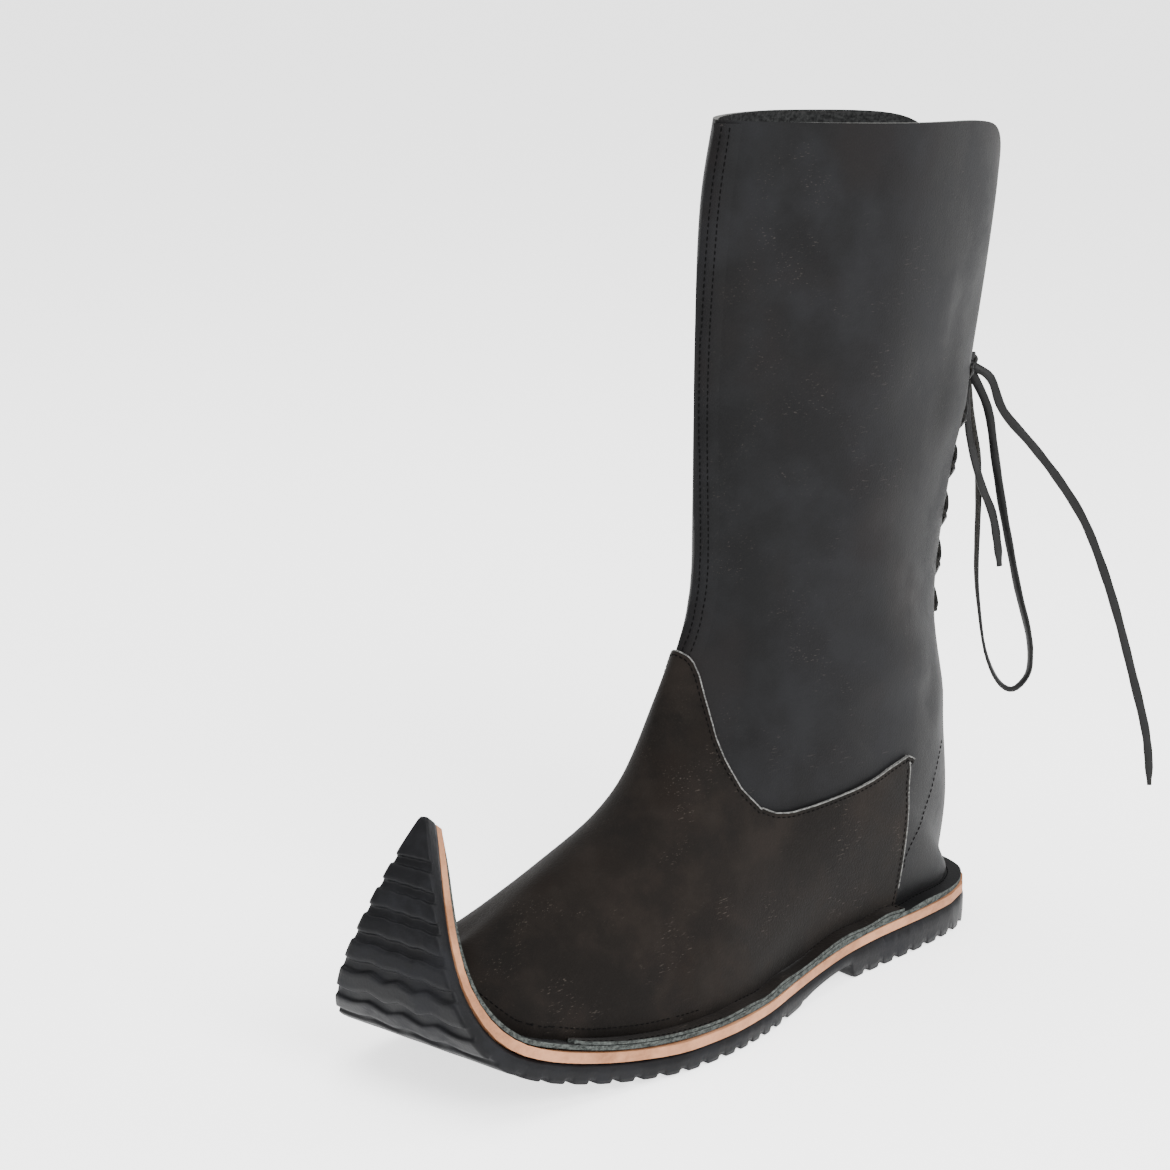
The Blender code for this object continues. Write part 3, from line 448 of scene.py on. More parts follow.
SHAFT_LEATHER = WaxedLeather("shaft_leather", rough=0.62, shine=0.09)
VAMP_LEATHER = WaxedLeather(
    "vamp_leather", rough=0.78, shine=0.06, dark=(0.044, 0.035, 0.029), pale=(0.098, 0.083, 0.073),
    warm=(0.070, 0.053, 0.042), mark=(0.31, 0.285, 0.26), cloud_scale=34.0, grain_scale=900.0,
    scuff_scale=1700.0, scuff_share=0.42, fleck_share=0.10, relief=0.00016, sheen=0.04,
)
CUT_EDGE = RawLeather(
    "cut_edge", rough=0.95, shine=0.05, dark=(0.20, 0.20, 0.20), pale=(0.45, 0.45, 0.44), sheen=0.0,
)
FLANGE_EDGE = RawLeather(
    "flange_edge", rough=0.95, shine=0.05, dark=(0.10, 0.108, 0.105), pale=(0.30, 0.315, 0.305), sheen=0.0,
)
FLESH_SIDE = RawLeather(
    "flesh_side", rough=0.95, shine=0.05, dark=(0.075, 0.077, 0.078), pale=(0.19, 0.192, 0.192),
    scale=650.0, sheen=0.0,
)
SOCK = RawLeather(
    "sock_lining", rough=0.9, shine=0.1, dark=(0.12, 0.105, 0.09), pale=(0.22, 0.20, 0.175),
    scale=500.0, sheen=0.0,
)
SOLE_EDGE = TannedEdge("sole_leather", rough=0.7, shine=0.3)
RUBBER = MouldedRubber("sole_rubber", rough=0.58, shine=0.12)
BLACK_THREAD = Thread("black_thread", rough=0.75, shine=0.04)
LACE_GRAIN = WaxedLeather(
    "lace_grain", rough=0.5, shine=0.15, dark=(0.045, 0.045, 0.045), pale=(0.09, 0.09, 0.092),
    warm=(0.06, 0.057, 0.055), cloud_scale=90.0, grain_scale=1500.0, scuff_share=0.05, fleck_share=0.03,
    relief=0.00006, sheen=0.0,
)
LACE_FLESH = RawLeather(
    "lace_flesh", rough=0.95, shine=0.05, dark=(0.09, 0.088, 0.084), pale=(0.25, 0.245, 0.235),
    scale=1300.0, sheen=0.0,
)
STUDIO_FINISHES: dict[str, Material] = {}


def build_finishes() -> None:
    """Build every material once."""
    for finish in (
        SHAFT_LEATHER, VAMP_LEATHER, CUT_EDGE, FLANGE_EDGE, FLESH_SIDE, SOCK, SOLE_EDGE, RUBBER,
        BLACK_THREAD, LACE_GRAIN, LACE_FLESH,
    ):
        STUDIO_FINISHES[finish.name] = finish.build()


def wear(mesh: Mesh, *finishes: Finish) -> None:
    """Add finishes to a mesh as its next materials."""
    for finish in finishes:
        mesh.materials.append(STUDIO_FINISHES[finish.name])


def put(mesh: Mesh, name: str) -> Object:
    """Put a mesh in the scene as an object at the origin."""
    piece = bpy.data.objects.new(name, mesh)
    bpy.context.scene.collection.objects.link(piece)
    return piece


def only(piece: Object) -> None:
    """Select one object alone and make it the active one."""
    bpy.ops.object.select_all(action="DESELECT")
    piece.select_set(True)
    bpy.context.view_layer.objects.active = piece


def apply_all(piece: Object) -> None:
    """Apply every modifier of a piece."""
    only(piece)
    for modifier in list(piece.modifiers):
        bpy.ops.object.modifier_apply(modifier=modifier.name)


def smooth(piece: Object, degrees: float = 42.0) -> None:
    """Shade a piece smooth, with its sharper edges kept."""
    only(piece)
    bpy.ops.object.shade_smooth_by_angle(angle=math.radians(degrees))


def form_of(mesh: Mesh) -> BMesh:
    """Editable copy of a mesh."""
    form = bmesh.new()
    form.from_mesh(mesh)
    form.normal_update()
    return form


def settle(form: BMesh, mesh: Mesh) -> None:
    """Write an editable copy back to its mesh."""
    form.to_mesh(mesh)
    form.free()


def tree_of(piece: Object) -> BVHTree:
    """Search tree over a piece's faces."""
    form = form_of(piece.data)
    tree = BVHTree.FromBMesh(form)
    form.free()
    return tree


def to_quads(piece: Object, flat: float, skew: float) -> None:
    """Merge the loose triangles and turn them back into four-sided faces.

    Args:
        piece: the piece.
        flat: largest angle between two triangles that merge, in degrees.
        skew: how far a merged face may be from a rectangle, in degrees.
    """
    only(piece)
    bpy.ops.object.mode_set(mode="EDIT")
    bpy.ops.mesh.select_mode(type="FACE")
    bpy.ops.mesh.select_all(action="SELECT")
    bpy.ops.mesh.remove_doubles(threshold=WELD)
    bpy.ops.mesh.tris_convert_to_quads(
        face_threshold=math.radians(flat), shape_threshold=math.radians(skew),
    )
    bpy.ops.object.mode_set(mode="OBJECT")


def add_modifier(piece: Object, name: str, kind: str, **settings: object) -> None:
    """Add a modifier with its settings."""
    modifier = piece.modifiers.new(name, kind)
    for setting, value in settings.items():
        setattr(modifier, setting, value)


def join_all(pieces: Sequence[Object], name: str) -> Object:
    """Join pieces into the first, under a new name."""
    only(pieces[0])
    for piece in pieces[1:]:
        piece.select_set(True)
    if len(pieces) > 1:
        bpy.ops.object.join()
    pieces[0].name = name
    return pieces[0]


def smoothstep(low: float, high: float, value: float) -> float:
    """Ease from 0 at low to 1 at high."""
    share = min(max((value - low) / (high - low), 0.0), 1.0)
    return share * share * (3.0 - 2.0 * share)


@dataclass(frozen=True)
class Crease:
    """A soft trough or ridge along a short line on the leather."""

    start: Point
    end: Point
    depth: float
    radius: float

    def push(self, place: Vector) -> float:
        """How far a point moves along its normal, out when positive.

        Args:
            place: the point.

        Returns:
            The move in metres.
        """
        first, last = Vector(self.start), Vector(self.end)
        along = last - first
        share = min(max((place - first).dot(along) / along.length_squared, 0.0), 1.0)
        away = (place - first - along * share).length / self.radius
        fade = 1.0 - abs(2.0 * share - 1.0) ** 3
        return self.depth * math.exp(-away * away) * fade


# A narrow face is a cut edge if its edges across are no longer than this many walls
BRIDGE = 1.6
# Leather that smoothing leaves alone, and the heel that gets more of it
SEAT_TOP = 0.0245
TOE_START = -0.085
EASE_ROUNDS = 8
HEEL_ROUNDS = 60
HEEL_FRONT = (0.05, 0.085)
HEEL_FOOT = (0.027, 0.04)
HEEL_TOP = (0.105, 0.135)
# The flange's upper side, always outer face, and the middle line that the outer face looks from
FLANGE_TOP = 0.045
FLANGE_END = -0.11
FLANGE_LOOK = 0.35
MIDDLE_X = -0.002
TOE_MIDDLE, HEEL_MIDDLE = -0.12, 0.095
SHAFT_FRONT = 0.03
SHAFT_MIDDLE, FOOT_MIDDLE = 0.06, 0.03
# Cut edges lower and steeper than this belong to the flange
LOW_EDGES = 0.12
STEEP = 0.85


@dataclass
class CutLeather:
    """A leather piece refined from its solid: rounded faces, crisp cut edges and soft creases."""

    node: str
    name: str
    finish: Finish
    cut: Finish
    slot: Slot
    creases: Sequence[Crease] = ()
    rubs: Sequence[tuple[Point, float, float]] = ()
    wall: float = 0.0026
    levels: int = 2
    sharp: float = math.radians(48.0)
    piece: Optional[Object] = None

    def make(self, buckle: Callable[[Vector], Vector]) -> Object:
        """Build and dress the piece.

        Args:
            buckle: moves a point of the flange where the leather buckles.

        Returns:
            The finished piece.
        """
        source = bpy.data.objects[self.node]
        self.piece = put(source.data.copy(), self.name)
        to_quads(self.piece, 25.0, 70.0)
        self.sort_faces()
        self.refine()
        self.shape(buckle)
        self.paint()
        return self.hand_over()

    def hand_over(self) -> Object:
        """Shade the piece and put it in its solid's place."""
        smooth(self.piece)
        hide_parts(self.node)
        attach(self.piece, BODY)
        log.info("%s: %d faces", self.name, len(self.piece.data.polygons))
        return self.piece

    def sort_faces(self) -> None:
        """Give each face its finish: narrow bands between sharp edges are cut edges."""
        form = form_of(self.piece.data)
        crease = form.edges.layers.float.get("crease_edge") or form.edges.layers.float.new("crease_edge")
        for edge in form.edges:
            edge.smooth = True
            sharp = len(edge.link_faces) == 2 and edge.calc_face_angle(0.0) > self.sharp
            edge[crease] = 1.0 if sharp else 0.0
        for face in form.faces:
            face.material_index = Face.GRAIN.value
            on_edges = all(any(edge[crease] > 0.5 for edge in vert.link_edges) for vert in face.verts)
            longest = max(edge.calc_length() for edge in face.edges)
            bridges = [edge.calc_length() for edge in face.edges if edge[crease] < 0.5]
            narrow = face.calc_area() / longest < self.wall
            short = not bridges or min(bridges) < BRIDGE * self.wall
            if on_edges and narrow and short and any(edge[crease] > 0.5 for edge in face.edges):
                face.material_index = Face.CUT.value
        settle(form, self.piece.data)

    def refine(self) -> None:
        """Subdivide with the cut edges kept crisp."""
        add_modifier(
            self.piece, "finer", "SUBSURF", levels=self.levels, render_levels=self.levels,
            boundary_smooth="PRESERVE_CORNERS",
        )
        apply_all(self.piece)
        mesh = self.piece.data
        cuts: set[int] = set()
        for polygon in mesh.polygons:
            if polygon.material_index == Face.CUT.value:
                cuts.update(polygon.vertices)
        free = self.piece.vertex_groups.new(name="free")
        held = cuts | {v.index for v in mesh.vertices if v.co.z < SEAT_TOP or v.co.y < TOE_START}
        free.add([v.index for v in mesh.vertices if v.index not in held], 1.0, "REPLACE")
        add_modifier(
            self.piece, "ease", "SMOOTH", factor=0.5, iterations=EASE_ROUNDS, vertex_group="free",
        )
        heel = self.piece.vertex_groups.new(name="heel")
        for vertex in mesh.vertices:
            place = vertex.co
            above, below = smoothstep(*HEEL_FOOT, place.z), 1.0 - smoothstep(*HEEL_TOP, place.z)
            weight = smoothstep(*HEEL_FRONT, place.y) * above * below
            if weight > 0.0:
                heel.add([vertex.index], weight, "REPLACE")
        add_modifier(
            self.piece, "ease_heel", "SMOOTH", factor=0.7, iterations=HEEL_ROUNDS, vertex_group="heel",
        )
        apply_all(self.piece)

    def shape(self, buckle: Callable[[Vector], Vector]) -> None:
        """Press the creases in and buckle the flange."""
        normals = [vertex.normal.copy() for vertex in self.piece.data.vertices]
        for vertex, normal in zip(self.piece.data.vertices, normals):
            push = sum(crease.push(vertex.co) for crease in self.creases)
            side = 1.0 if self.faces_out(vertex.co, normal) else -1.0
            vertex.co += normal * (side * push)
            vertex.co = buckle(vertex.co)
        self.piece.data.update()

    def faces_out(self, place: Vector, normal: Vector) -> bool:
        """Whether a point is on the outer face of the leather."""
        if place.z < FLANGE_TOP and place.y > FLANGE_END and normal.z > FLANGE_LOOK:
            return True
        height = max(place.z, SHAFT_MIDDLE) if place.y > SHAFT_FRONT else FOOT_MIDDLE
        middle = Vector((MIDDLE_X, max(TOE_MIDDLE, min(HEEL_MIDDLE, place.y)), height))
        return normal.dot(place - middle) >= 0.0

    def paint(self) -> None:
        """Give the faces their materials and the points their rubbed places."""
        mesh = self.piece.data
        kinds = [polygon.material_index for polygon in mesh.polygons]
        mesh.materials.clear()
        wear(mesh, self.finish, self.cut, FLESH_SIDE, FLANGE_EDGE)
        for polygon, kind in zip(mesh.polygons, kinds):
            polygon.material_index = kind
        for polygon in mesh.polygons:
            kind, centre, normal = polygon.material_index, polygon.center, polygon.normal
            if kind == Face.GRAIN.value and not self.faces_out(centre, normal):
                polygon.material_index = Face.FLESH.value
            if kind == Face.CUT.value and centre.z < LOW_EDGES and abs(normal.z) < STEEP:
                polygon.material_index = Face.FLANGE.value
        self.rub_in(mesh)

    def rub_in(self, mesh: Mesh) -> None:
        """Write how rubbed each point is."""
        layer = mesh.attributes.get("rub") or mesh.attributes.new("rub", "FLOAT", "POINT")
        for index, vertex in enumerate(mesh.vertices):
            amount = 0.0
            for centre, radius, strength in self.rubs:
                away = (vertex.co - Vector(centre)).length / radius
                amount += strength * math.exp(-away * away)
            layer.data[index].value = amount


SEAM_SIDE: list[tuple[float, float]] = [
    (-0.0149, 0.1573), (-0.0105, 0.1525), (-0.0099, 0.1465), (-0.0101, 0.1373), (-0.0097, 0.1213),
    (-0.0077, 0.1109), (-0.0033, 0.0998), (0.0031, 0.0916), (0.0111, 0.0868), (0.0199, 0.0850),
    (0.0327, 0.0850), (0.0471, 0.0857), (0.0611, 0.0868), (0.0767, 0.0890), (0.0911, 0.0920),
    (0.0975, 0.0928), (0.0963, 0.0779), (0.0947, 0.0557), (0.0931, 0.0315), (0.0927, -0.0120),
]
SEAM_FRONT: list[tuple[float, float]] = [(-0.25, -0.0120), (-0.25, 0.1650), (-0.0300, 0.1650)]


@dataclass
class Overlay(CutLeather):
    """Vamp cut from the shaft's own outer skin, so that it lies on it everywhere."""

    thickness: float = 0.0013
    gap: float = 0.0003
    cover_reach: float = 0.006
    fill_rounds: int = 6
    grow: int = 5
    seat_clear: float = 0.03
    heel_clear: float = 0.08
    scrap_faces: int = 400
    seam_near: float = 0.0008
    rims: list[bool] = field(default_factory=list)

    def lay(self, shaft: Object) -> Object:
        """Cut the piece from the shaft's skin and dress it.

        Args:
            shaft: the finished shaft.

        Returns:
            The finished piece.
        """
        self.piece = put(shaft.data.copy(), self.name)
        self.keep_skin(tree_of(bpy.data.objects[self.node]))
        self.trim()
        add_modifier(
            self.piece, "thick", "SOLIDIFY", thickness=self.thickness, offset=1.0, use_rim=True,
            use_quality_normals=True, material_offset=0, material_offset_rim=Face.FLANGE.value,
        )
        apply_all(self.piece)
        self.rims = [polygon.material_index != Face.GRAIN.value for polygon in self.piece.data.polygons]
        self.dress(tree_of(shaft))
        return self.hand_over()

    def keep_skin(self, cover: BVHTree) -> None:
        """Keep the shaft's faces that the vamp's solid covers and a margin beyond its seam.

        Args:
            cover: search tree over the vamp's solid.
        """
        form = form_of(self.piece.data)
        outer = [face for face in form.faces if face.material_index == Face.GRAIN.value]
        kept = {
            face for face in outer
            if cover.ray_cast(face.calc_center_median(), face.normal, self.cover_reach)[0] is not None
        }
        for _ in range(self.fill_rounds):
            kept |= {
                face for face in outer if face not in kept
                and sum(other in kept for edge in face.edges for other in edge.link_faces) >= 3
            }
        for _ in range(self.grow):
            ring = set()
            for face in kept:
                for edge in face.edges:
                    for other in edge.link_faces:
                        place = other.calc_center_median()
                        open_side = place.z > self.seat_clear or place.y > self.heel_clear
                        if other not in kept and other.material_index == Face.GRAIN.value and open_side:
                            ring.add(other)
            kept |= ring
        bmesh.ops.delete(form, geom=[face for face in form.faces if face not in kept], context="FACES")
        for face in form.faces:
            face.material_index = Face.GRAIN.value
        form.normal_update()
        for vert in form.verts:
            vert.co += vert.normal * self.gap
        settle(form, self.piece.data)

    @staticmethod
    def inside(place: Vector) -> float:
        """How far a place is within the seam, seen from the side.

        Args:
            place: the place.

        Returns:
            The distance to the seam, negative outside it.
        """
        corners = SEAM_SIDE + SEAM_FRONT
        within, nearest = False, 1.0
        for (y1, z1), (y2, z2) in zip(corners, corners[1:] + corners[:1]):
            along_y, along_z = y2 - y1, z2 - z1
            if (z1 > place.z) != (z2 > place.z) and place.y < y1 + (place.z - z1) / along_z * along_y:
                within = not within
            share = ((place.y - y1) * along_y + (place.z - z1) * along_z) / (along_y ** 2 + along_z ** 2)
            share = min(max(share, 0.0), 1.0)
            away = math.hypot(place.y - y1 - share * along_y, place.z - z1 - share * along_z)
            nearest = min(nearest, away)
        return nearest if within else -nearest

    def trim(self) -> None:
        """Cut the open skin off along the seam."""
        form = form_of(self.piece.data)
        reach = {vert: self.inside(vert.co) for vert in form.verts}
        fresh: set[BMVert] = set()
        for edge in list(form.edges):
            first, last = edge.verts
            if reach[first] * reach[last] < 0.0:
                share = reach[first] / (reach[first] - reach[last])
                _, vert = bmesh.utils.edge_split(edge, first, share)
                reach[vert] = 0.0
                fresh.add(vert)
        for face in list(form.faces):
            ends = [vert for vert in face.verts if vert in fresh]
            if len(ends) == 2 and not any(edge.other_vert(ends[0]) is ends[1] for edge in ends[0].link_edges):
                bmesh.utils.face_split(face, ends[0], ends[1])
        outside = [face for face in form.faces if self.inside(face.calc_center_median()) < 0.0]
        bmesh.ops.delete(form, geom=outside, context="FACES")
        scraps = [face for part in self.islands(form) if len(part) < self.scrap_faces for face in part]
        bmesh.ops.delete(form, geom=scraps, context="FACES")
        settle(form, self.piece.data)

    @staticmethod
    def islands(form: BMesh) -> list[list[BMFace]]:
        """Group the faces that hang together.

        Args:
            form: the mesh.

        Returns:
            The faces of each group.
        """
        waiting, groups = set(form.faces), []
        while waiting:
            group, queue = [], [waiting.pop()]
            while queue:
                here = queue.pop()
                group.append(here)
                beside = {other for edge in here.edges for other in edge.link_faces} & waiting
                waiting -= beside
                queue += beside
            groups.append(group)
        return groups

    def dress(self, under: BVHTree) -> None:
        """Sort the faces of the cut skin and write its rubbed places.

        Args:
            under: search tree over the shaft.
        """
        mesh = self.piece.data
        mesh.materials.clear()
        wear(mesh, self.finish, self.cut, FLESH_SIDE, FLANGE_EDGE)
        for polygon, rim in zip(mesh.polygons, self.rims):
            if rim:
                near_seam = abs(self.inside(polygon.center)) < self.seam_near
                polygon.material_index = Face.CUT.value if near_seam else Face.FLANGE.value
            else:
                found, _, _, _ = under.ray_cast(polygon.center, polygon.normal, self.thickness)
                polygon.material_index = Face.GRAIN.value if found is None else Face.FLESH.value
        self.rub_in(mesh)


# Where the flange stands in waves: its heights above the seat, and its places along the boot
WAVES_TOP = 0.05
WAVES_END = -0.07
FLANGE_FOOT = (0.0008, 0.0021)
FLANGE_ROOT = (0.004, 0.009)
WAVES_FRONT = (-0.05, 0.0)
WAVES_REAR = (0.125, 0.15)


@dataclass
class Sole:
    """Rubber, tan leather layer and sock lining, which keep their solids."""

    wave: float = 0.0013
    wave_length: float = 0.036
    soft: float = math.radians(35.0)
    sharp: float = math.radians(75.0)
    rib_crease: float = 0.4
    wall_crease: float = 0.75

    def mould(self) -> Object:
        """Round the ribs and edges of the rubber on a copy of its solid.

        Returns:
            The finished rubber.
        """
        rubber = put(bpy.data.objects["outsole"].data.copy(), "rubber_sole")
        to_quads(rubber, 30.0, 80.0)
        form = form_of(rubber.data)
        crease = form.edges.layers.float.get("crease_edge") or form.edges.layers.float.new("crease_edge")
        for edge in form.edges:
            edge.smooth = True
            turn = edge.calc_face_angle(0.0)
            side = any(abs(face.normal.z) < 0.5 for face in edge.link_faces)
            crisp = self.wall_crease if turn > self.sharp and side else self.rib_crease
            edge[crease] = 0.0 if turn < self.soft else crisp
        settle(form, rubber.data)
        add_modifier(rubber, "finer", "SUBSURF", levels=2, render_levels=2)
        apply_all(rubber)
        smooth(rubber, 50.0)
        rubber.data.materials.clear()
        wear(rubber.data, RUBBER)
        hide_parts("outsole")
        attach(rubber, BODY)
        log.info("rubber_sole: %d faces", len(rubber.data.polygons))
        return rubber

    def dress(self) -> None:
        """Round the rubber and give the other solids of the sole their finishes."""
        self.mould()
        for node, finish in (("midsole", SOLE_EDGE), ("insole", SOCK)):
            solid = bpy.data.objects[node]
            solid.data.materials.clear()
            wear(solid.data, finish)
            log.info("%s: kept with %s", node, finish.name)

    def buckle_over(self) -> Callable[[Vector], Vector]:
        """Make the function that lifts the flange in waves above the sole.

        Returns:
            A function from a point of the leather to its place.
        """
        seat = tree_of(bpy.data.objects["midsole"])

        def lift(place: Vector) -> Vector:
            """Lift one point if it lies just over the seat."""
            if place.z > WAVES_TOP or place.y < WAVES_END:
                return place
            found, _, _, _ = seat.ray_cast(place + Vector((0.0, 0.0, 0.004)), Vector((0.0, 0.0, -1.0)), 0.02)
            if found is None:
                found, _, _, _ = seat.find_nearest(place)
            rise = place.z - found.z
            weight = smoothstep(*FLANGE_FOOT, rise) * (1.0 - smoothstep(*FLANGE_ROOT, rise))
            zone = smoothstep(*WAVES_FRONT, place.y) * (1.0 - smoothstep(*WAVES_REAR, place.y))
            phase = 2.0 * math.pi * place.y / self.wave_length
            height = 0.55 + 0.45 * math.sin(phase + 1.1 * math.sin(0.37 * phase + 1.0))
            return place + Vector((0.0, 0.0, self.wave * height * weight * zone))

        return lift


@dataclass
class Upper:
    """Black shaft with the brown vamp over it."""

    shaft: Optional[CutLeather] = None
    vamp: Optional[CutLeather] = None

    def make(self, buckle: Callable[[Vector], Vector]) -> None:
        """Build both leather pieces."""
        self.shaft = CutLeather(
            "upper", "shaft", SHAFT_LEATHER, CUT_EDGE, Slot.BLACK,
            creases=[
                Crease((0.030, 0.045, 0.165), (0.012, 0.140, 0.150), -0.0016, 0.014),
                Crease((0.034, 0.060, 0.120), (0.020, 0.140, 0.108), -0.0010, 0.012),
                Crease((0.032, 0.050, 0.235), (0.020, 0.135, 0.262), -0.0012, 0.016),
                Crease((0.030, 0.040, 0.205), (0.022, 0.130, 0.215), 0.0010, 0.016),
                Crease((0.044, -0.070, 0.030), (0.020, -0.030, 0.075), -0.0012, 0.010),
                Crease((0.040, -0.040, 0.045), (0.016, -0.010, 0.095), -0.0010, 0.010),
                Crease((-0.040, -0.060, 0.035), (-0.016, -0.020, 0.085), -0.0012, 0.010),
                Crease((0.020, 0.120, 0.285), (0.014, 0.162, 0.280), -0.0022, 0.014),
                Crease((0.020, 0.120, 0.242), (0.010, 0.160, 0.238), 0.0020, 0.014),
                Crease((0.024, 0.120, 0.112), (0.010, 0.160, 0.111), 0.0020, 0.016),
                Crease((-0.034, 0.045, 0.170), (-0.020, 0.140, 0.158), -0.0016, 0.014),
                Crease((-0.036, 0.060, 0.245), (-0.022, 0.130, 0.262), -0.0012, 0.016),
            ],
            rubs=[
                ((0.030, 0.080, 0.120), 0.030, 0.45),
                ((0.026, 0.060, 0.200), 0.040, 0.30),
                ((0.034, 0.090, 0.300), 0.035, 0.25),
                ((-0.034, 0.080, 0.230), 0.040, 0.35),
                ((0.015, 0.150, 0.200), 0.020, 0.30),
            ],
        )
        self.vamp = Overlay(
            "vamp", "vamp_overlay", VAMP_LEATHER, CUT_EDGE, Slot.BROWN,
            rubs=[
                ((0.030, -0.050, 0.065), 0.035, 0.35),
                ((0.036, 0.000, 0.060), 0.030, 0.25),
                ((-0.030, -0.050, 0.060), 0.035, 0.30),
                ((0.010, -0.100, 0.045), 0.030, 0.25),
            ],
        )
        self.shaft.make(buckle)
        self.vamp.lay(self.shaft.piece)


# Section of the strap as shares of its width and thickness, its suede sides, and how rubbed it is
STRAP_PROFILE = [
    (-0.5, -0.28), (-0.42, -0.5), (0.42, -0.5), (0.5, -0.28),
    (0.5, 0.28), (0.42, 0.5), (-0.42, 0.5), (-0.5, 0.28),
]
STRAP_FLESH = (0, 1, 2)
LACE_RUB = 0.1


@dataclass
class Strap:
    """Flat lace of one width and thickness, black on one face and suede on the other."""

    width: float = 0.0040
    thickness: float = 0.0014

    def sweep(
        self, name: str, points: Sequence[Vector], outs: Sequence[Vector], taper: float = 0.0,
    ) -> Object:
        """Build a rounded flat band along a line.

        Args:
            name: name of the piece.
            points: places along the line.
            outs: the way that the black face looks at each place.
            taper: share of the width that the last stretch loses.

        Returns:
            The band.
        """
        form = bmesh.new()
        loops = []
        last = len(points) - 1
        for index, place in enumerate(points):
            ahead = (points[min(index + 1, last)] - points[max(index - 1, 0)]).normalized()
            out = outs[index] - ahead * outs[index].dot(ahead)
            out.normalize()
            wide = ahead.cross(out)
            narrow = 1.0 - taper * smoothstep(last - 4, last, index)
            wobble = 1.0 + 0.05 * math.sin(1.7 * index) + 0.03 * math.sin(0.61 * index + 1.0)
            loop = []
            for across, high in STRAP_PROFILE:
                spot = place + wide * (across * self.width * narrow * wobble) + out * (high * self.thickness)
                loop.append(form.verts.new(spot))
            loops.append(loop)
        corners = len(STRAP_PROFILE)
        for before, after in zip(loops, loops[1:]):
            for corner in range(corners):
                near = (corner + 1) % corners
                face = form.faces.new((before[corner], before[near], after[near], after[corner]))
                face.material_index = 1 if corner in STRAP_FLESH else 0
        form.faces.new(list(reversed(loops[0])))
        form.faces.new(loops[-1])
        form.normal_update()
        bmesh.ops.recalc_face_normals(form, faces=form.faces)
        mesh = bpy.data.meshes.new(name)
        settle(form, mesh)
        piece = put(mesh, name)
        wear(mesh, LACE_GRAIN, LACE_FLESH)
        layer = mesh.attributes.new("rub", "FLOAT", "POINT")
        for value in layer.data:
            value.value = LACE_RUB
        smooth(piece, 60.0)
        return piece


def curve_through(places: Sequence[Vector], steps: int) -> list[Vector]:
    """Smooth line through places.

    Args:
        places: the places it passes.
        steps: points for each stretch.

    Returns:
        Points along the line.
    """
    line = []
    last = len(places) - 1
    for index in range(last):
        before = places[index - 1] if index else places[0] * 2.0 - places[1]
        after = places[index + 2] if index + 2 <= last else places[last] * 2.0 - places[last - 1]
        here, there = places[index], places[index + 1]
        for step in range(steps):
            t = step / steps
            near, far = 0.5 * (there - before), 0.5 * (after - here)
            line.append(
                here * (2 * t ** 3 - 3 * t * t + 1) + near * (t ** 3 - 2 * t * t + t)
                + there * (3 * t * t - 2 * t ** 3) + far * (t ** 3 - t * t)
            )
    line.append(places[last].copy())
    return line


LOOP_ROUTE: list[Point] = [
    (0.0027, 0.0030, -0.0062), (0.0068, 0.0076, -0.0200), (0.0090, 0.0113, -0.0420),
    (0.0112, 0.0150, -0.0640), (0.0136, 0.0190, -0.0845), (0.0163, 0.0235, -0.1065),
    (0.0190, 0.0282, -0.1250), (0.0200, 0.0299, -0.1370), (0.0195, 0.0290, -0.1475),
    (0.0160, 0.0229, -0.1540), (0.0120, 0.0163, -0.1490), (0.0082, 0.0110, -0.1340),
    (0.0058, 0.0080, -0.1120), (0.0046, 0.0070, -0.0970), (0.0042, 0.0070, -0.0800),
    (0.0040, 0.0070, -0.0610), (0.0032, 0.0058, -0.0410), (0.0010, 0.0034, -0.0250),
    (-0.0009, 0.0013, -0.0091),
]
END_ROUTE: list[Point] = [
    (0.0044, 0.0032, -0.0012), (0.0086, 0.0066, -0.0060), (0.0126, 0.0115, -0.0210),
    (0.0221, 0.0222, -0.0375), (0.0307, 0.0320, -0.0540), (0.0385, 0.0410, -0.0725),
    (0.0447, 0.0480, -0.0940), (0.0501, 0.0541, -0.1170), (0.0557, 0.0605, -0.1455),
    (0.0604, 0.0658, -0.1705), (0.0622, 0.0678, -0.1855), (0.0630, 0.0688, -0.2000),
]
SHORT_ROUTE: list[Point] = [
    (0.0024, -0.0022, -0.0076), (0.0040, -0.0034, -0.0200), (0.0052, -0.0022, -0.0330),
    (0.0076, 0.0034, -0.0530), (0.0096, 0.0106, -0.0690), (0.0110, 0.0133, -0.0830),
    (0.0118, 0.0146, -0.0940),
]


# Turns of the knot: radius, height, lean in radians, lift. A turn ends past its start.
KNOT_TURNS = (
    (0.0029, 0.0062, 0.5, 0.0), (0.0031, 0.0056, -0.6, -0.0014),
    (0.0026, 0.0022, 0.1, 0.0034), (0.0024, 0.0020, 0.2, -0.0040),
)
KNOT_OVERLAP = 1.06
KNOT_CORE = (0.0028, 0.0030, 0.0062)
# Heights over the leather and depth in a hole, for the crossed straps
LACE_SUNK = 0.0022
LACE_OVER = 0.0008
LACE_HIGH = 0.0011
LACE_CROSS = 0.0009
LACE_ABOVE = 0.0013


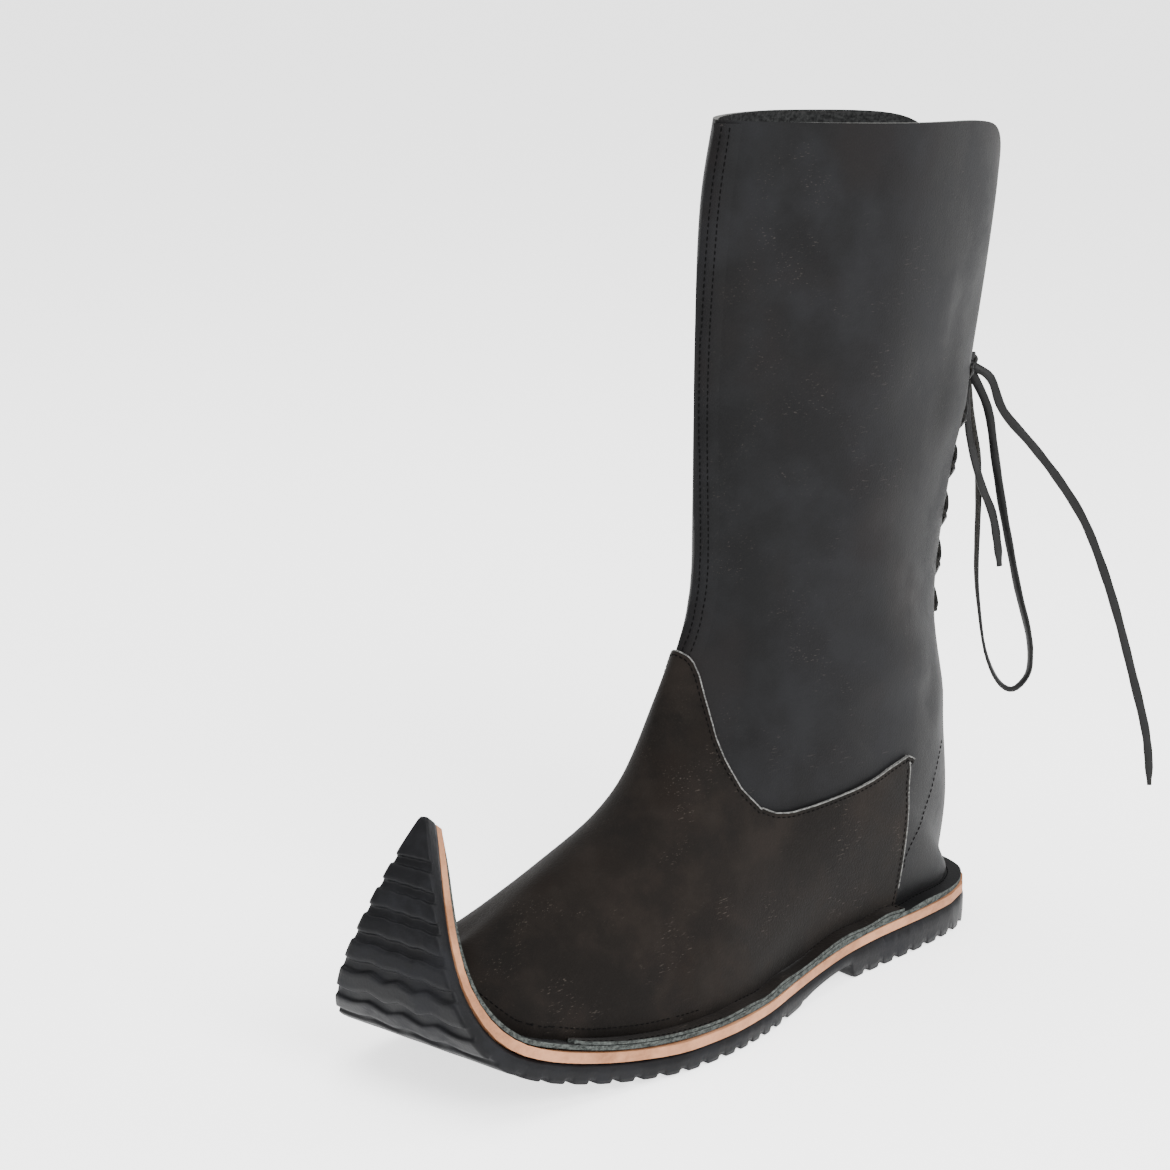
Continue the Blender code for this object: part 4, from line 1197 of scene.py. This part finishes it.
@dataclass
class Lacing:
    """Lace: crossings up the slit, the knot, and the loop and two ends that hang from it."""

    strap: Strap = field(default_factory=Strap)
    hole_low: float = 0.146
    hole_pitch: float = 0.0215
    hole_rows: int = 6
    slit_plane: float = -0.0027

    def make(self, shaft: Object) -> None:
        """Build every part of the lace.

        Args:
            shaft: the dressed shaft that it is laced through.
        """
        self.tree = tree_of(shaft)
        low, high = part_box("lace_knot")
        self.knot = (Vector(low) + Vector(high)) * 0.5
        self.free_ends()
        self.tie()
        self.cross()

    def cord(
        self, name: str, route: Sequence[Point], steps: int, facing: Vector, twist: float,
        far_end: str, taper: float,
    ) -> Object:
        """Args:
            name: the solid that it stands for.
            route: its places from the knot.
            steps: points for each stretch of the route.
            facing: the way its black face looks at the start.
            twist: how far it turns on the way, in degrees.
            far_end: what is on its end.
            taper: share of the width that its end loses.

        Returns:
            The piece.
        """
        places = [Vector(place) + self.knot for place in route]
        places[0] = self.knot.lerp(places[0], 0.45)
        if far_end == "object":
            places[-1] = self.knot.lerp(places[-1], 0.6)
        line = curve_through(places, steps)
        last = len(line) - 1
        outs = []
        for index in range(last + 1):
            ahead = (line[min(index + 1, last)] - line[max(index - 1, 0)]).normalized()
            outs.append(Matrix.Rotation(math.radians(twist) * index / last, 3, ahead) @ facing)
        piece = self.strap.sweep(name + "_strap", line, outs, taper)
        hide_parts(name)
        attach(piece, BODY)
        return piece

    def free_ends(self) -> None:
        """Hang the loop and the two ends."""
        self.cord("lace_loop", LOOP_ROUTE, 4, Vector((0.55, -0.75, 0.1)), 150.0, "object", 0.0)
        self.cord("lace_end", END_ROUTE, 5, Vector((0.8, -0.5, 0.3)), 25.0, "bare", 0.45)
        self.cord("lace_short_end", SHORT_ROUTE, 5, Vector((0.9, 0.2, 0.0)), 40.0, "bare", 0.4)

    def tie(self) -> None:
        """Wind the knot from four turns of strap round a core."""
        parts = []
        steps = 28
        for number, (radius, height, lean, lift) in enumerate(KNOT_TURNS):
            line, outs = [], []
            for step in range(steps + 1):
                angle = 2.0 * math.pi * step / steps * KNOT_OVERLAP
                flat = Vector((radius * math.cos(angle), radius * math.sin(angle), 0.0))
                rise = height * math.sin(angle + number) * 0.5
                spot = Vector((flat.x, flat.y, rise + lift))
                spot.rotate(Matrix.Rotation(lean, 3, "Y"))
                line.append(self.knot + spot)
                outward = Vector((flat.x, flat.y, 0.0))
                outward.rotate(Matrix.Rotation(lean, 3, "Y"))
                outs.append(outward.normalized())
            parts.append(self.strap.sweep("knot_turn_%d" % number, line, outs))
        bpy.ops.object.select_all(action="DESELECT")
        bpy.ops.mesh.primitive_ico_sphere_add(subdivisions=3, radius=1.0, location=tuple(self.knot))
        core = bpy.context.active_object
        core.name = "knot_core"
        bpy.ops.object.mode_set(mode="EDIT")
        bpy.ops.mesh.select_all(action="SELECT")
        bpy.ops.transform.resize(value=KNOT_CORE, center_override=tuple(self.knot))
        bpy.ops.object.mode_set(mode="OBJECT")
        bpy.ops.object.transform_apply(location=True, rotation=True, scale=True)
        wear(core.data, LACE_GRAIN)
        smooth(core, 80.0)
        parts.append(core)
        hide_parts("lace_knot")
        for part in parts:
            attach(part, BODY)
        log.info("lace_knot: %d turns", len(parts))

    def on_back(self, x: float, z: float, over: float) -> tuple[Vector, Vector]:
        """Place and outward normal just off the shaft's back.

        Args:
            x: sideways place.
            z: height.
            over: how far off the leather.

        Returns:
            The place and the normal.
        """
        start = Vector((x, 0.25, z))
        found, normal, _, _ = self.tree.ray_cast(start, Vector((0.0, -1.0, 0.0)), 0.2)
        if found is None or found.y < 0.09:
            side = 1.0 if x > self.slit_plane else -1.0
            found, normal, _, _ = self.tree.find_nearest(Vector((x + 0.006 * side, 0.165, z)))
            found = Vector((x, found.y, z))
            normal = Vector((0.0, 1.0, 0.0))
        return found + normal * over, normal

    def hole(self, row: int, side: float) -> tuple[Vector, Vector]:
        """Place and normal of a lace hole, from the ends of the crossing solid."""
        level = self.hole_low + row * self.hole_pitch
        crossings = bpy.data.objects["lace_crossings"].data
        near = [
            v.co for v in crossings.vertices
            if abs(v.co.z - level) < 0.003 and (v.co.x - self.slit_plane) * side > 0.0
        ]
        reach = max(near, key=lambda place: (place.x - self.slit_plane) * side)
        found, normal, _, _ = self.tree.find_nearest(Vector((reach.x, reach.y, level)))
        return Vector(found), Vector(normal)

    def cross(self) -> None:
        """Lay the bar and the crossed straps."""
        runs: list[tuple[int, int, float]] = [(0, 0, 1.0)]
        for row in range(self.hole_rows - 1):
            runs += [(row, row + 1, 1.0), (row, row + 1, -1.0)]
        pieces = []
        for number, (low_row, high_row, side) in enumerate(runs):
            first, first_out = self.hole(low_row, side)
            second, second_out = self.hole(high_row, -side)
            over = LACE_CROSS + (LACE_ABOVE if side < 0.0 and low_row != high_row else 0.0)
            places = [first - first_out * LACE_SUNK, first + first_out * LACE_OVER]
            for share in (0.2, 0.5, 0.8):
                spot = first.lerp(second, share)
                lifted, _ = self.on_back(spot.x, spot.z, 0.0)
                back = max(lifted.y, spot.y) + (over if share == 0.5 else LACE_HIGH)
                places.append(Vector((spot.x, back, spot.z)))
            places += [second + second_out * LACE_OVER, second - second_out * LACE_SUNK]
            line = curve_through(places, 4)
            outs = []
            for place in line:
                share = (place - first).length / max((second - first).length, 1e-6)
                mixed = first_out.lerp(second_out, min(max(share, 0.0), 1.0)) + Vector((0.0, 0.8, 0.0))
                outs.append(mixed.normalized())
            pieces.append(self.strap.sweep("lace_cross_%d" % number, line, outs))
        joined = join_all(pieces, "lace_crossed")
        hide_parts("lace_crossings")
        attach(joined, BODY)
        log.info("lace_crossings: %d straps", len(runs))


@dataclass
class Stitching:
    """Rows of black stitches, each stitch a small copied capsule."""

    pitch: float = 0.0027
    length: float = 0.0019
    thick: float = 0.00055

    def capsule(self) -> tuple[list[Vector], list[list[int]]]:
        """Model one stitch with the usual tools.

        Returns:
            Its points along X and its faces.
        """
        bpy.ops.object.select_all(action="DESELECT")
        bpy.ops.mesh.primitive_uv_sphere_add(segments=6, ring_count=4, radius=0.5, location=(0.0, 0.0, 0.0))
        maker = bpy.context.active_object
        bpy.ops.object.mode_set(mode="EDIT")
        bpy.ops.mesh.select_all(action="SELECT")
        bpy.ops.transform.rotate(value=math.radians(90.0), orient_axis="Y", center_override=(0.0, 0.0, 0.0))
        bpy.ops.transform.resize(value=(self.length, self.thick, self.thick))
        bpy.ops.object.mode_set(mode="OBJECT")
        points = [vertex.co.copy() for vertex in maker.data.vertices]
        faces = [list(polygon.vertices) for polygon in maker.data.polygons]
        bpy.data.objects.remove(maker)
        return points, faces

    def row(
        self, name: str, spots: Iterable[tuple[Vector, Vector, Vector]], slot: Slot,
    ) -> Optional[Object]:
        """Copy the stitch to every spot as one piece.

        Args:
            name: name of the piece.
            spots: place, way along and normal of each stitch.
            slot: the leather that it is sewn through; not used.

        Returns:
            The row, or None where there are no spots.
        """
        points, faces = self.capsule()
        all_points: list[Vector] = []
        all_faces: list[list[int]] = []
        for place, along, normal in spots:
            along = (along - normal * along.dot(normal)).normalized()
            across = normal.cross(along)
            base = len(all_points)
            sunk = place + normal * (0.12 * self.thick)
            all_points += [sunk + along * p.x + across * p.y + normal * p.z for p in points]
            all_faces += [[base + index for index in face] for face in faces]
        if not all_points:
            return None
        mesh = bpy.data.meshes.new(name)
        mesh.from_pydata([tuple(p) for p in all_points], [], all_faces)
        mesh.update()
        piece = put(mesh, name)
        wear(mesh, BLACK_THREAD)
        smooth(piece, 80.0)
        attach(piece, BODY)
        log.info("%s: %d stitches", name, len(all_points) // len(points))
        return piece


def cut_loops(piece: Object, kind: Face) -> list[list[tuple[Vector, Vector]]]:
    """Lines where the outer leather meets its cut edges.

    Args:
        piece: a dressed leather piece.
        kind: the kind of cut edge.

    Returns:
        For each line its points with the outer face's normal there.
    """
    form = form_of(piece.data)
    borders: dict[BMVert, list[BMEdge]] = {}
    for edge in form.edges:
        kinds = {face.material_index for face in edge.link_faces}
        if kinds == {Face.GRAIN.value, kind.value}:
            for vert in edge.verts:
                borders.setdefault(vert, []).append(edge)
    loops = []
    used: set[BMEdge] = set()
    for start in list(borders):
        for first in borders[start]:
            if first in used:
                continue
            chain, here, edge = [start], start, first
            while edge is not None and edge not in used:
                used.add(edge)
                here = edge.other_vert(here)
                chain.append(here)
                edge = next((other for other in borders.get(here, []) if other not in used), None)
            line = []
            for vert in chain:
                normal = Vector()
                for face in vert.link_faces:
                    if face.material_index == Face.GRAIN.value:
                        normal += face.normal * face.calc_area()
                normal = normal.normalized() if normal.length else vert.normal.copy()
                line.append((vert.co.copy(), normal))
            loops.append(line)
    form.free()
    return loops


def walk(line: Sequence[tuple[Vector, Vector]], pitch: float) -> list[tuple[Vector, Vector, Vector]]:
    """Even steps along a line.

    Args:
        line: points with normals.
        pitch: the step.

    Returns:
        Place, way along and normal of each step.
    """
    spots = []
    left = 0.5 * pitch
    for (here, out), (there, next_out) in zip(line, line[1:]):
        span = (there - here).length
        if span < 1e-7:
            continue
        along = (there - here) / span
        travelled = left
        while travelled < span:
            share = travelled / span
            spots.append((here.lerp(there, share), along.copy(), out.lerp(next_out, share).normalized()))
            travelled += pitch
        left = travelled - span
    return spots


# Front lap: its heights, its section as shift and lift off the leather, and its two stitch rows
LAP_STATIONS = 60
LAP_LOW, LAP_HIGH = 0.150, 0.3695
LAP_PROFILE = (
    (0.0, -0.0004), (0.0, 0.0011), (0.0016, 0.00125), (0.0040, 0.00105), (0.0064, 0.0006),
    (0.0088, -0.0003),
)
LAP_ROWS = ((0.0022, 0.0012), (0.0047, 0.00092))
# Stitch line of the heel counter, seen from the side
COUNTER_LINE = (
    (0.1351, 0.0875), (0.1251, 0.077), (0.1186, 0.067), (0.1121, 0.059), (0.1031, 0.051),
    (0.0981, 0.044), (0.0976, 0.039),
)


@dataclass
class Seams:
    """Stitch rows and the lapped front seam."""

    upper: Upper
    stitching: Stitching = field(default_factory=Stitching)
    vamp_margin: float = 0.0019
    flange_margin: float = 0.0062
    largest_gap: float = 0.0012
    vamp_clear: float = 0.0022

    def make(self) -> None:
        """Sew every row."""
        self.shaft_tree = tree_of(self.upper.shaft.piece)
        self.vamp_tree = tree_of(self.upper.vamp.piece)
        self.around(self.upper.vamp.piece, self.vamp_tree, "vamp", Slot.BROWN)
        self.around(self.upper.shaft.piece, self.shaft_tree, "shaft", Slot.BLACK)
        self.raw_line(self.upper.vamp.piece, "vamp_raw_edge", 0.03)
        self.front_lap()
        self.counter()

    def around(self, piece: Object, tree: BVHTree, name: str, slot: Slot) -> None:
        """Sew along the edges of a piece: near a seam's edge, further in along the flange."""
        for kind, margin, label in (
            (Face.CUT, self.vamp_margin, "seam"), (Face.FLANGE, self.flange_margin, "flange"),
        ):
            if name == "shaft" and kind == Face.CUT:
                continue
            row = []
            for loop in cut_loops(piece, kind):
                for place, along, normal in walk(loop, self.stitching.pitch):
                    inward = normal.cross(along).normalized()
                    best = None
                    for sign in (1.0, -1.0):
                        found, found_normal, _, gap = tree.find_nearest(place + inward * (sign * margin))
                        if found is not None and (best is None or gap < best[3] - 1e-5):
                            best = (Vector(found), along, Vector(found_normal), gap)
                    if best is None or best[3] > self.largest_gap or best[2].dot(normal) < 0.2:
                        continue
                    if name == "shaft" and self.vamp_tree.find_nearest(best[0])[3] < self.vamp_clear:
                        continue
                    row.append(best[:3])
            self.stitching.row("%s_%s_stitches" % (name, label), row, slot)

    def raw_line(self, piece: Object, name: str, lowest: float) -> None:
        """Lay the fluffed light fibres that stand along a cut edge.

        Args:
            piece: the leather piece.
            name: name of the new piece.
            lowest: height below which no edge is fluffed.
        """
        burr = Strap(width=0.0006, thickness=0.0005)
        parts = []
        for loop in cut_loops(piece, Face.CUT):
            line = [(place, out) for place, out in loop if place.z > lowest]
            if len(line) < 6:
                continue
            parts.append(burr.sweep(name, [place for place, _ in line], [out for _, out in line]))
        if not parts:
            return
        joined = join_all(parts, name)
        joined.data.materials.clear()
        wear(joined.data, CUT_EDGE)
        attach(joined, BODY)
        log.info("%s: %d lines", name, len(parts))

    def front_point(self, x: float, z: float) -> Optional[tuple[Vector, Vector]]:
        """Place and normal on the shaft's front at a sideways place and height."""
        found, normal, _, _ = self.shaft_tree.ray_cast(Vector((x, -0.2, z)), Vector((0.0, 1.0, 0.0)), 0.4)
        return None if found is None else (Vector(found), Vector(normal))

    def front_lap(self) -> None:
        """Build the lapped strip down the front with its raw edge and two stitch rows."""
        form = bmesh.new()
        loops = []
        rows: tuple[list, list] = ([], [])
        for step in range(LAP_STATIONS + 1):
            z = LAP_LOW + (LAP_HIGH - LAP_LOW) * step / LAP_STATIONS
            centre = -0.0020 + 0.0006 * math.sin(9.0 * step / LAP_STATIONS)
            loop = []
            for across, lift in LAP_PROFILE:
                found = self.front_point(centre + across, z)
                if found is None:
                    loop = []
                    break
                loop.append(form.verts.new(found[0] + found[1] * lift))
            if not loop:
                continue
            loops.append(loop)
            for line, (across, lift) in zip(rows, LAP_ROWS):
                found = self.front_point(centre + across, z)
                line.append((found[0] + found[1] * lift, found[1]))
        for before, after in zip(loops, loops[1:]):
            for index in range(len(LAP_PROFILE) - 1):
                face = form.faces.new((before[index], before[index + 1], after[index + 1], after[index]))
                face.material_index = 1 if index == 0 else 0
            form.faces.new((before[-1], before[0], after[0], after[-1]))
        form.faces.new(list(reversed(loops[0])))
        form.faces.new(loops[-1])
        bmesh.ops.recalc_face_normals(form, faces=form.faces)
        mesh = bpy.data.meshes.new("front_lap")
        settle(form, mesh)
        piece = put(mesh, "front_lap")
        wear(mesh, SHAFT_LEATHER, CUT_EDGE)
        smooth(piece)
        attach(piece, BODY)
        log.info("front_lap: %d stations", len(loops))
        for number, line in enumerate(rows):
            self.stitching.row("front_stitches_%d" % number, walk(line, self.stitching.pitch), Slot.BLACK)

    def counter(self) -> None:
        """Sew the curved line of the heel counter on both sides."""
        spots = []
        for side in (1.0, -1.0):
            line = []
            for place in curve_through([Vector((0.0, y, z)) for y, z in COUNTER_LINE], 4):
                start = Vector((0.2 * side, place.y, place.z))
                found, normal, _, _ = self.shaft_tree.ray_cast(start, Vector((-side, 0.0, 0.0)), 0.4)
                if found is not None:
                    line.append((Vector(found), Vector(normal)))
            spots += walk(line, self.stitching.pitch)
        self.stitching.row("counter_stitches", spots, Slot.BLACK)


@dataclass
class Studio:
    """Camera at the photograph's angle, pale floor and soft light."""

    turn: float = 47.0
    pitch: float = 15.5
    distance: float = 1.150
    target: Point = (-0.0733, 0.0016, 0.1661)
    lens: float = 81.4

    def camera(self) -> None:
        """Place the camera."""
        data = bpy.data.cameras.new("view")
        data.lens = self.lens
        data.sensor_width = 36.0
        data.sensor_fit = "HORIZONTAL"
        eye = bpy.data.objects.new("view", data)
        bpy.context.scene.collection.objects.link(eye)
        turn, pitch = math.radians(self.turn), math.radians(self.pitch)
        away = Vector((math.sin(turn) * math.cos(pitch), -math.cos(turn) * math.cos(pitch), math.sin(pitch)))
        eye.location = Vector(self.target) + away * self.distance
        eye.rotation_euler = (-away).to_track_quat("-Z", "Y").to_euler()
        bpy.context.scene.camera = eye

    def lamp(self, name: str, place: Point, aim: Point, size: float, power: float) -> None:
        """Add one soft square light.

        Args:
            name: its name.
            place: where it stands.
            aim: what it looks at.
            size: width of its face.
            power: its power in watts.
        """
        data = bpy.data.lights.new(name, "AREA")
        data.shape = "SQUARE"
        data.size = size
        data.energy = power
        light = bpy.data.objects.new(name, data)
        light.location = place
        light.rotation_euler = (Vector(aim) - Vector(place)).to_track_quat("-Z", "Y").to_euler()
        bpy.context.scene.collection.objects.link(light)

    def make(self) -> None:
        """Build the camera, the floor and the lights."""
        self.camera()
        bpy.ops.object.select_all(action="DESELECT")
        bpy.ops.mesh.primitive_plane_add(size=80.0, location=(0.0, 0.0, 0.0))
        floor = bpy.context.active_object
        floor.name = "floor"
        paper = bpy.data.materials.new("floor_paper")
        paper.use_nodes = True
        shader = paper.node_tree.nodes["Principled BSDF"]
        shader.inputs["Base Color"].default_value = (0.92, 0.92, 0.92, 1.0)
        shader.inputs["Emission Color"].default_value = (1.0, 1.0, 1.0, 1.0)
        shader.inputs["Emission Strength"].default_value = 1.9
        shader.inputs["Roughness"].default_value = 0.9
        shader.inputs["Specular IOR Level"].default_value = 0.1
        floor.data.materials.append(paper)
        world = bpy.data.worlds.new("studio")
        world.use_nodes = True
        world.node_tree.nodes["Background"].inputs["Color"].default_value = (1.0, 1.0, 1.0, 1.0)
        nodes, links = world.node_tree.nodes, world.node_tree.links
        seen = nodes.new("ShaderNodeLightPath").outputs["Is Camera Ray"]
        strength = nodes.new("ShaderNodeMapRange")
        strength.inputs["To Min"].default_value = 0.85
        strength.inputs["To Max"].default_value = 6.0
        links.new(seen, strength.inputs["Value"])
        links.new(strength.outputs["Result"], nodes["Background"].inputs["Strength"])
        bpy.context.scene.world = world
        self.lamp("key", (1.5, -0.2, 1.3), (0.0, 0.05, 0.18), 1.0, 52.0)
        self.lamp("side", (0.7, 1.3, 0.8), (0.0, 0.05, 0.2), 0.8, 8.0)
        self.lamp("top", (-0.2, -0.3, 2.0), (0.0, 0.0, 0.0), 1.6, 40.0)


def main() -> None:
    """Build the boot and the studio."""
    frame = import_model()
    log.info("bodies %s", ", ".join(frame["bodies"]))
    Studio().make()
    build_finishes()
    sole = Sole()
    sole.dress()
    upper = Upper()
    upper.make(sole.buckle_over())
    Lacing().make(upper.shaft.piece)
    Seams(upper).make()


if __name__ == "__main__":
    main()
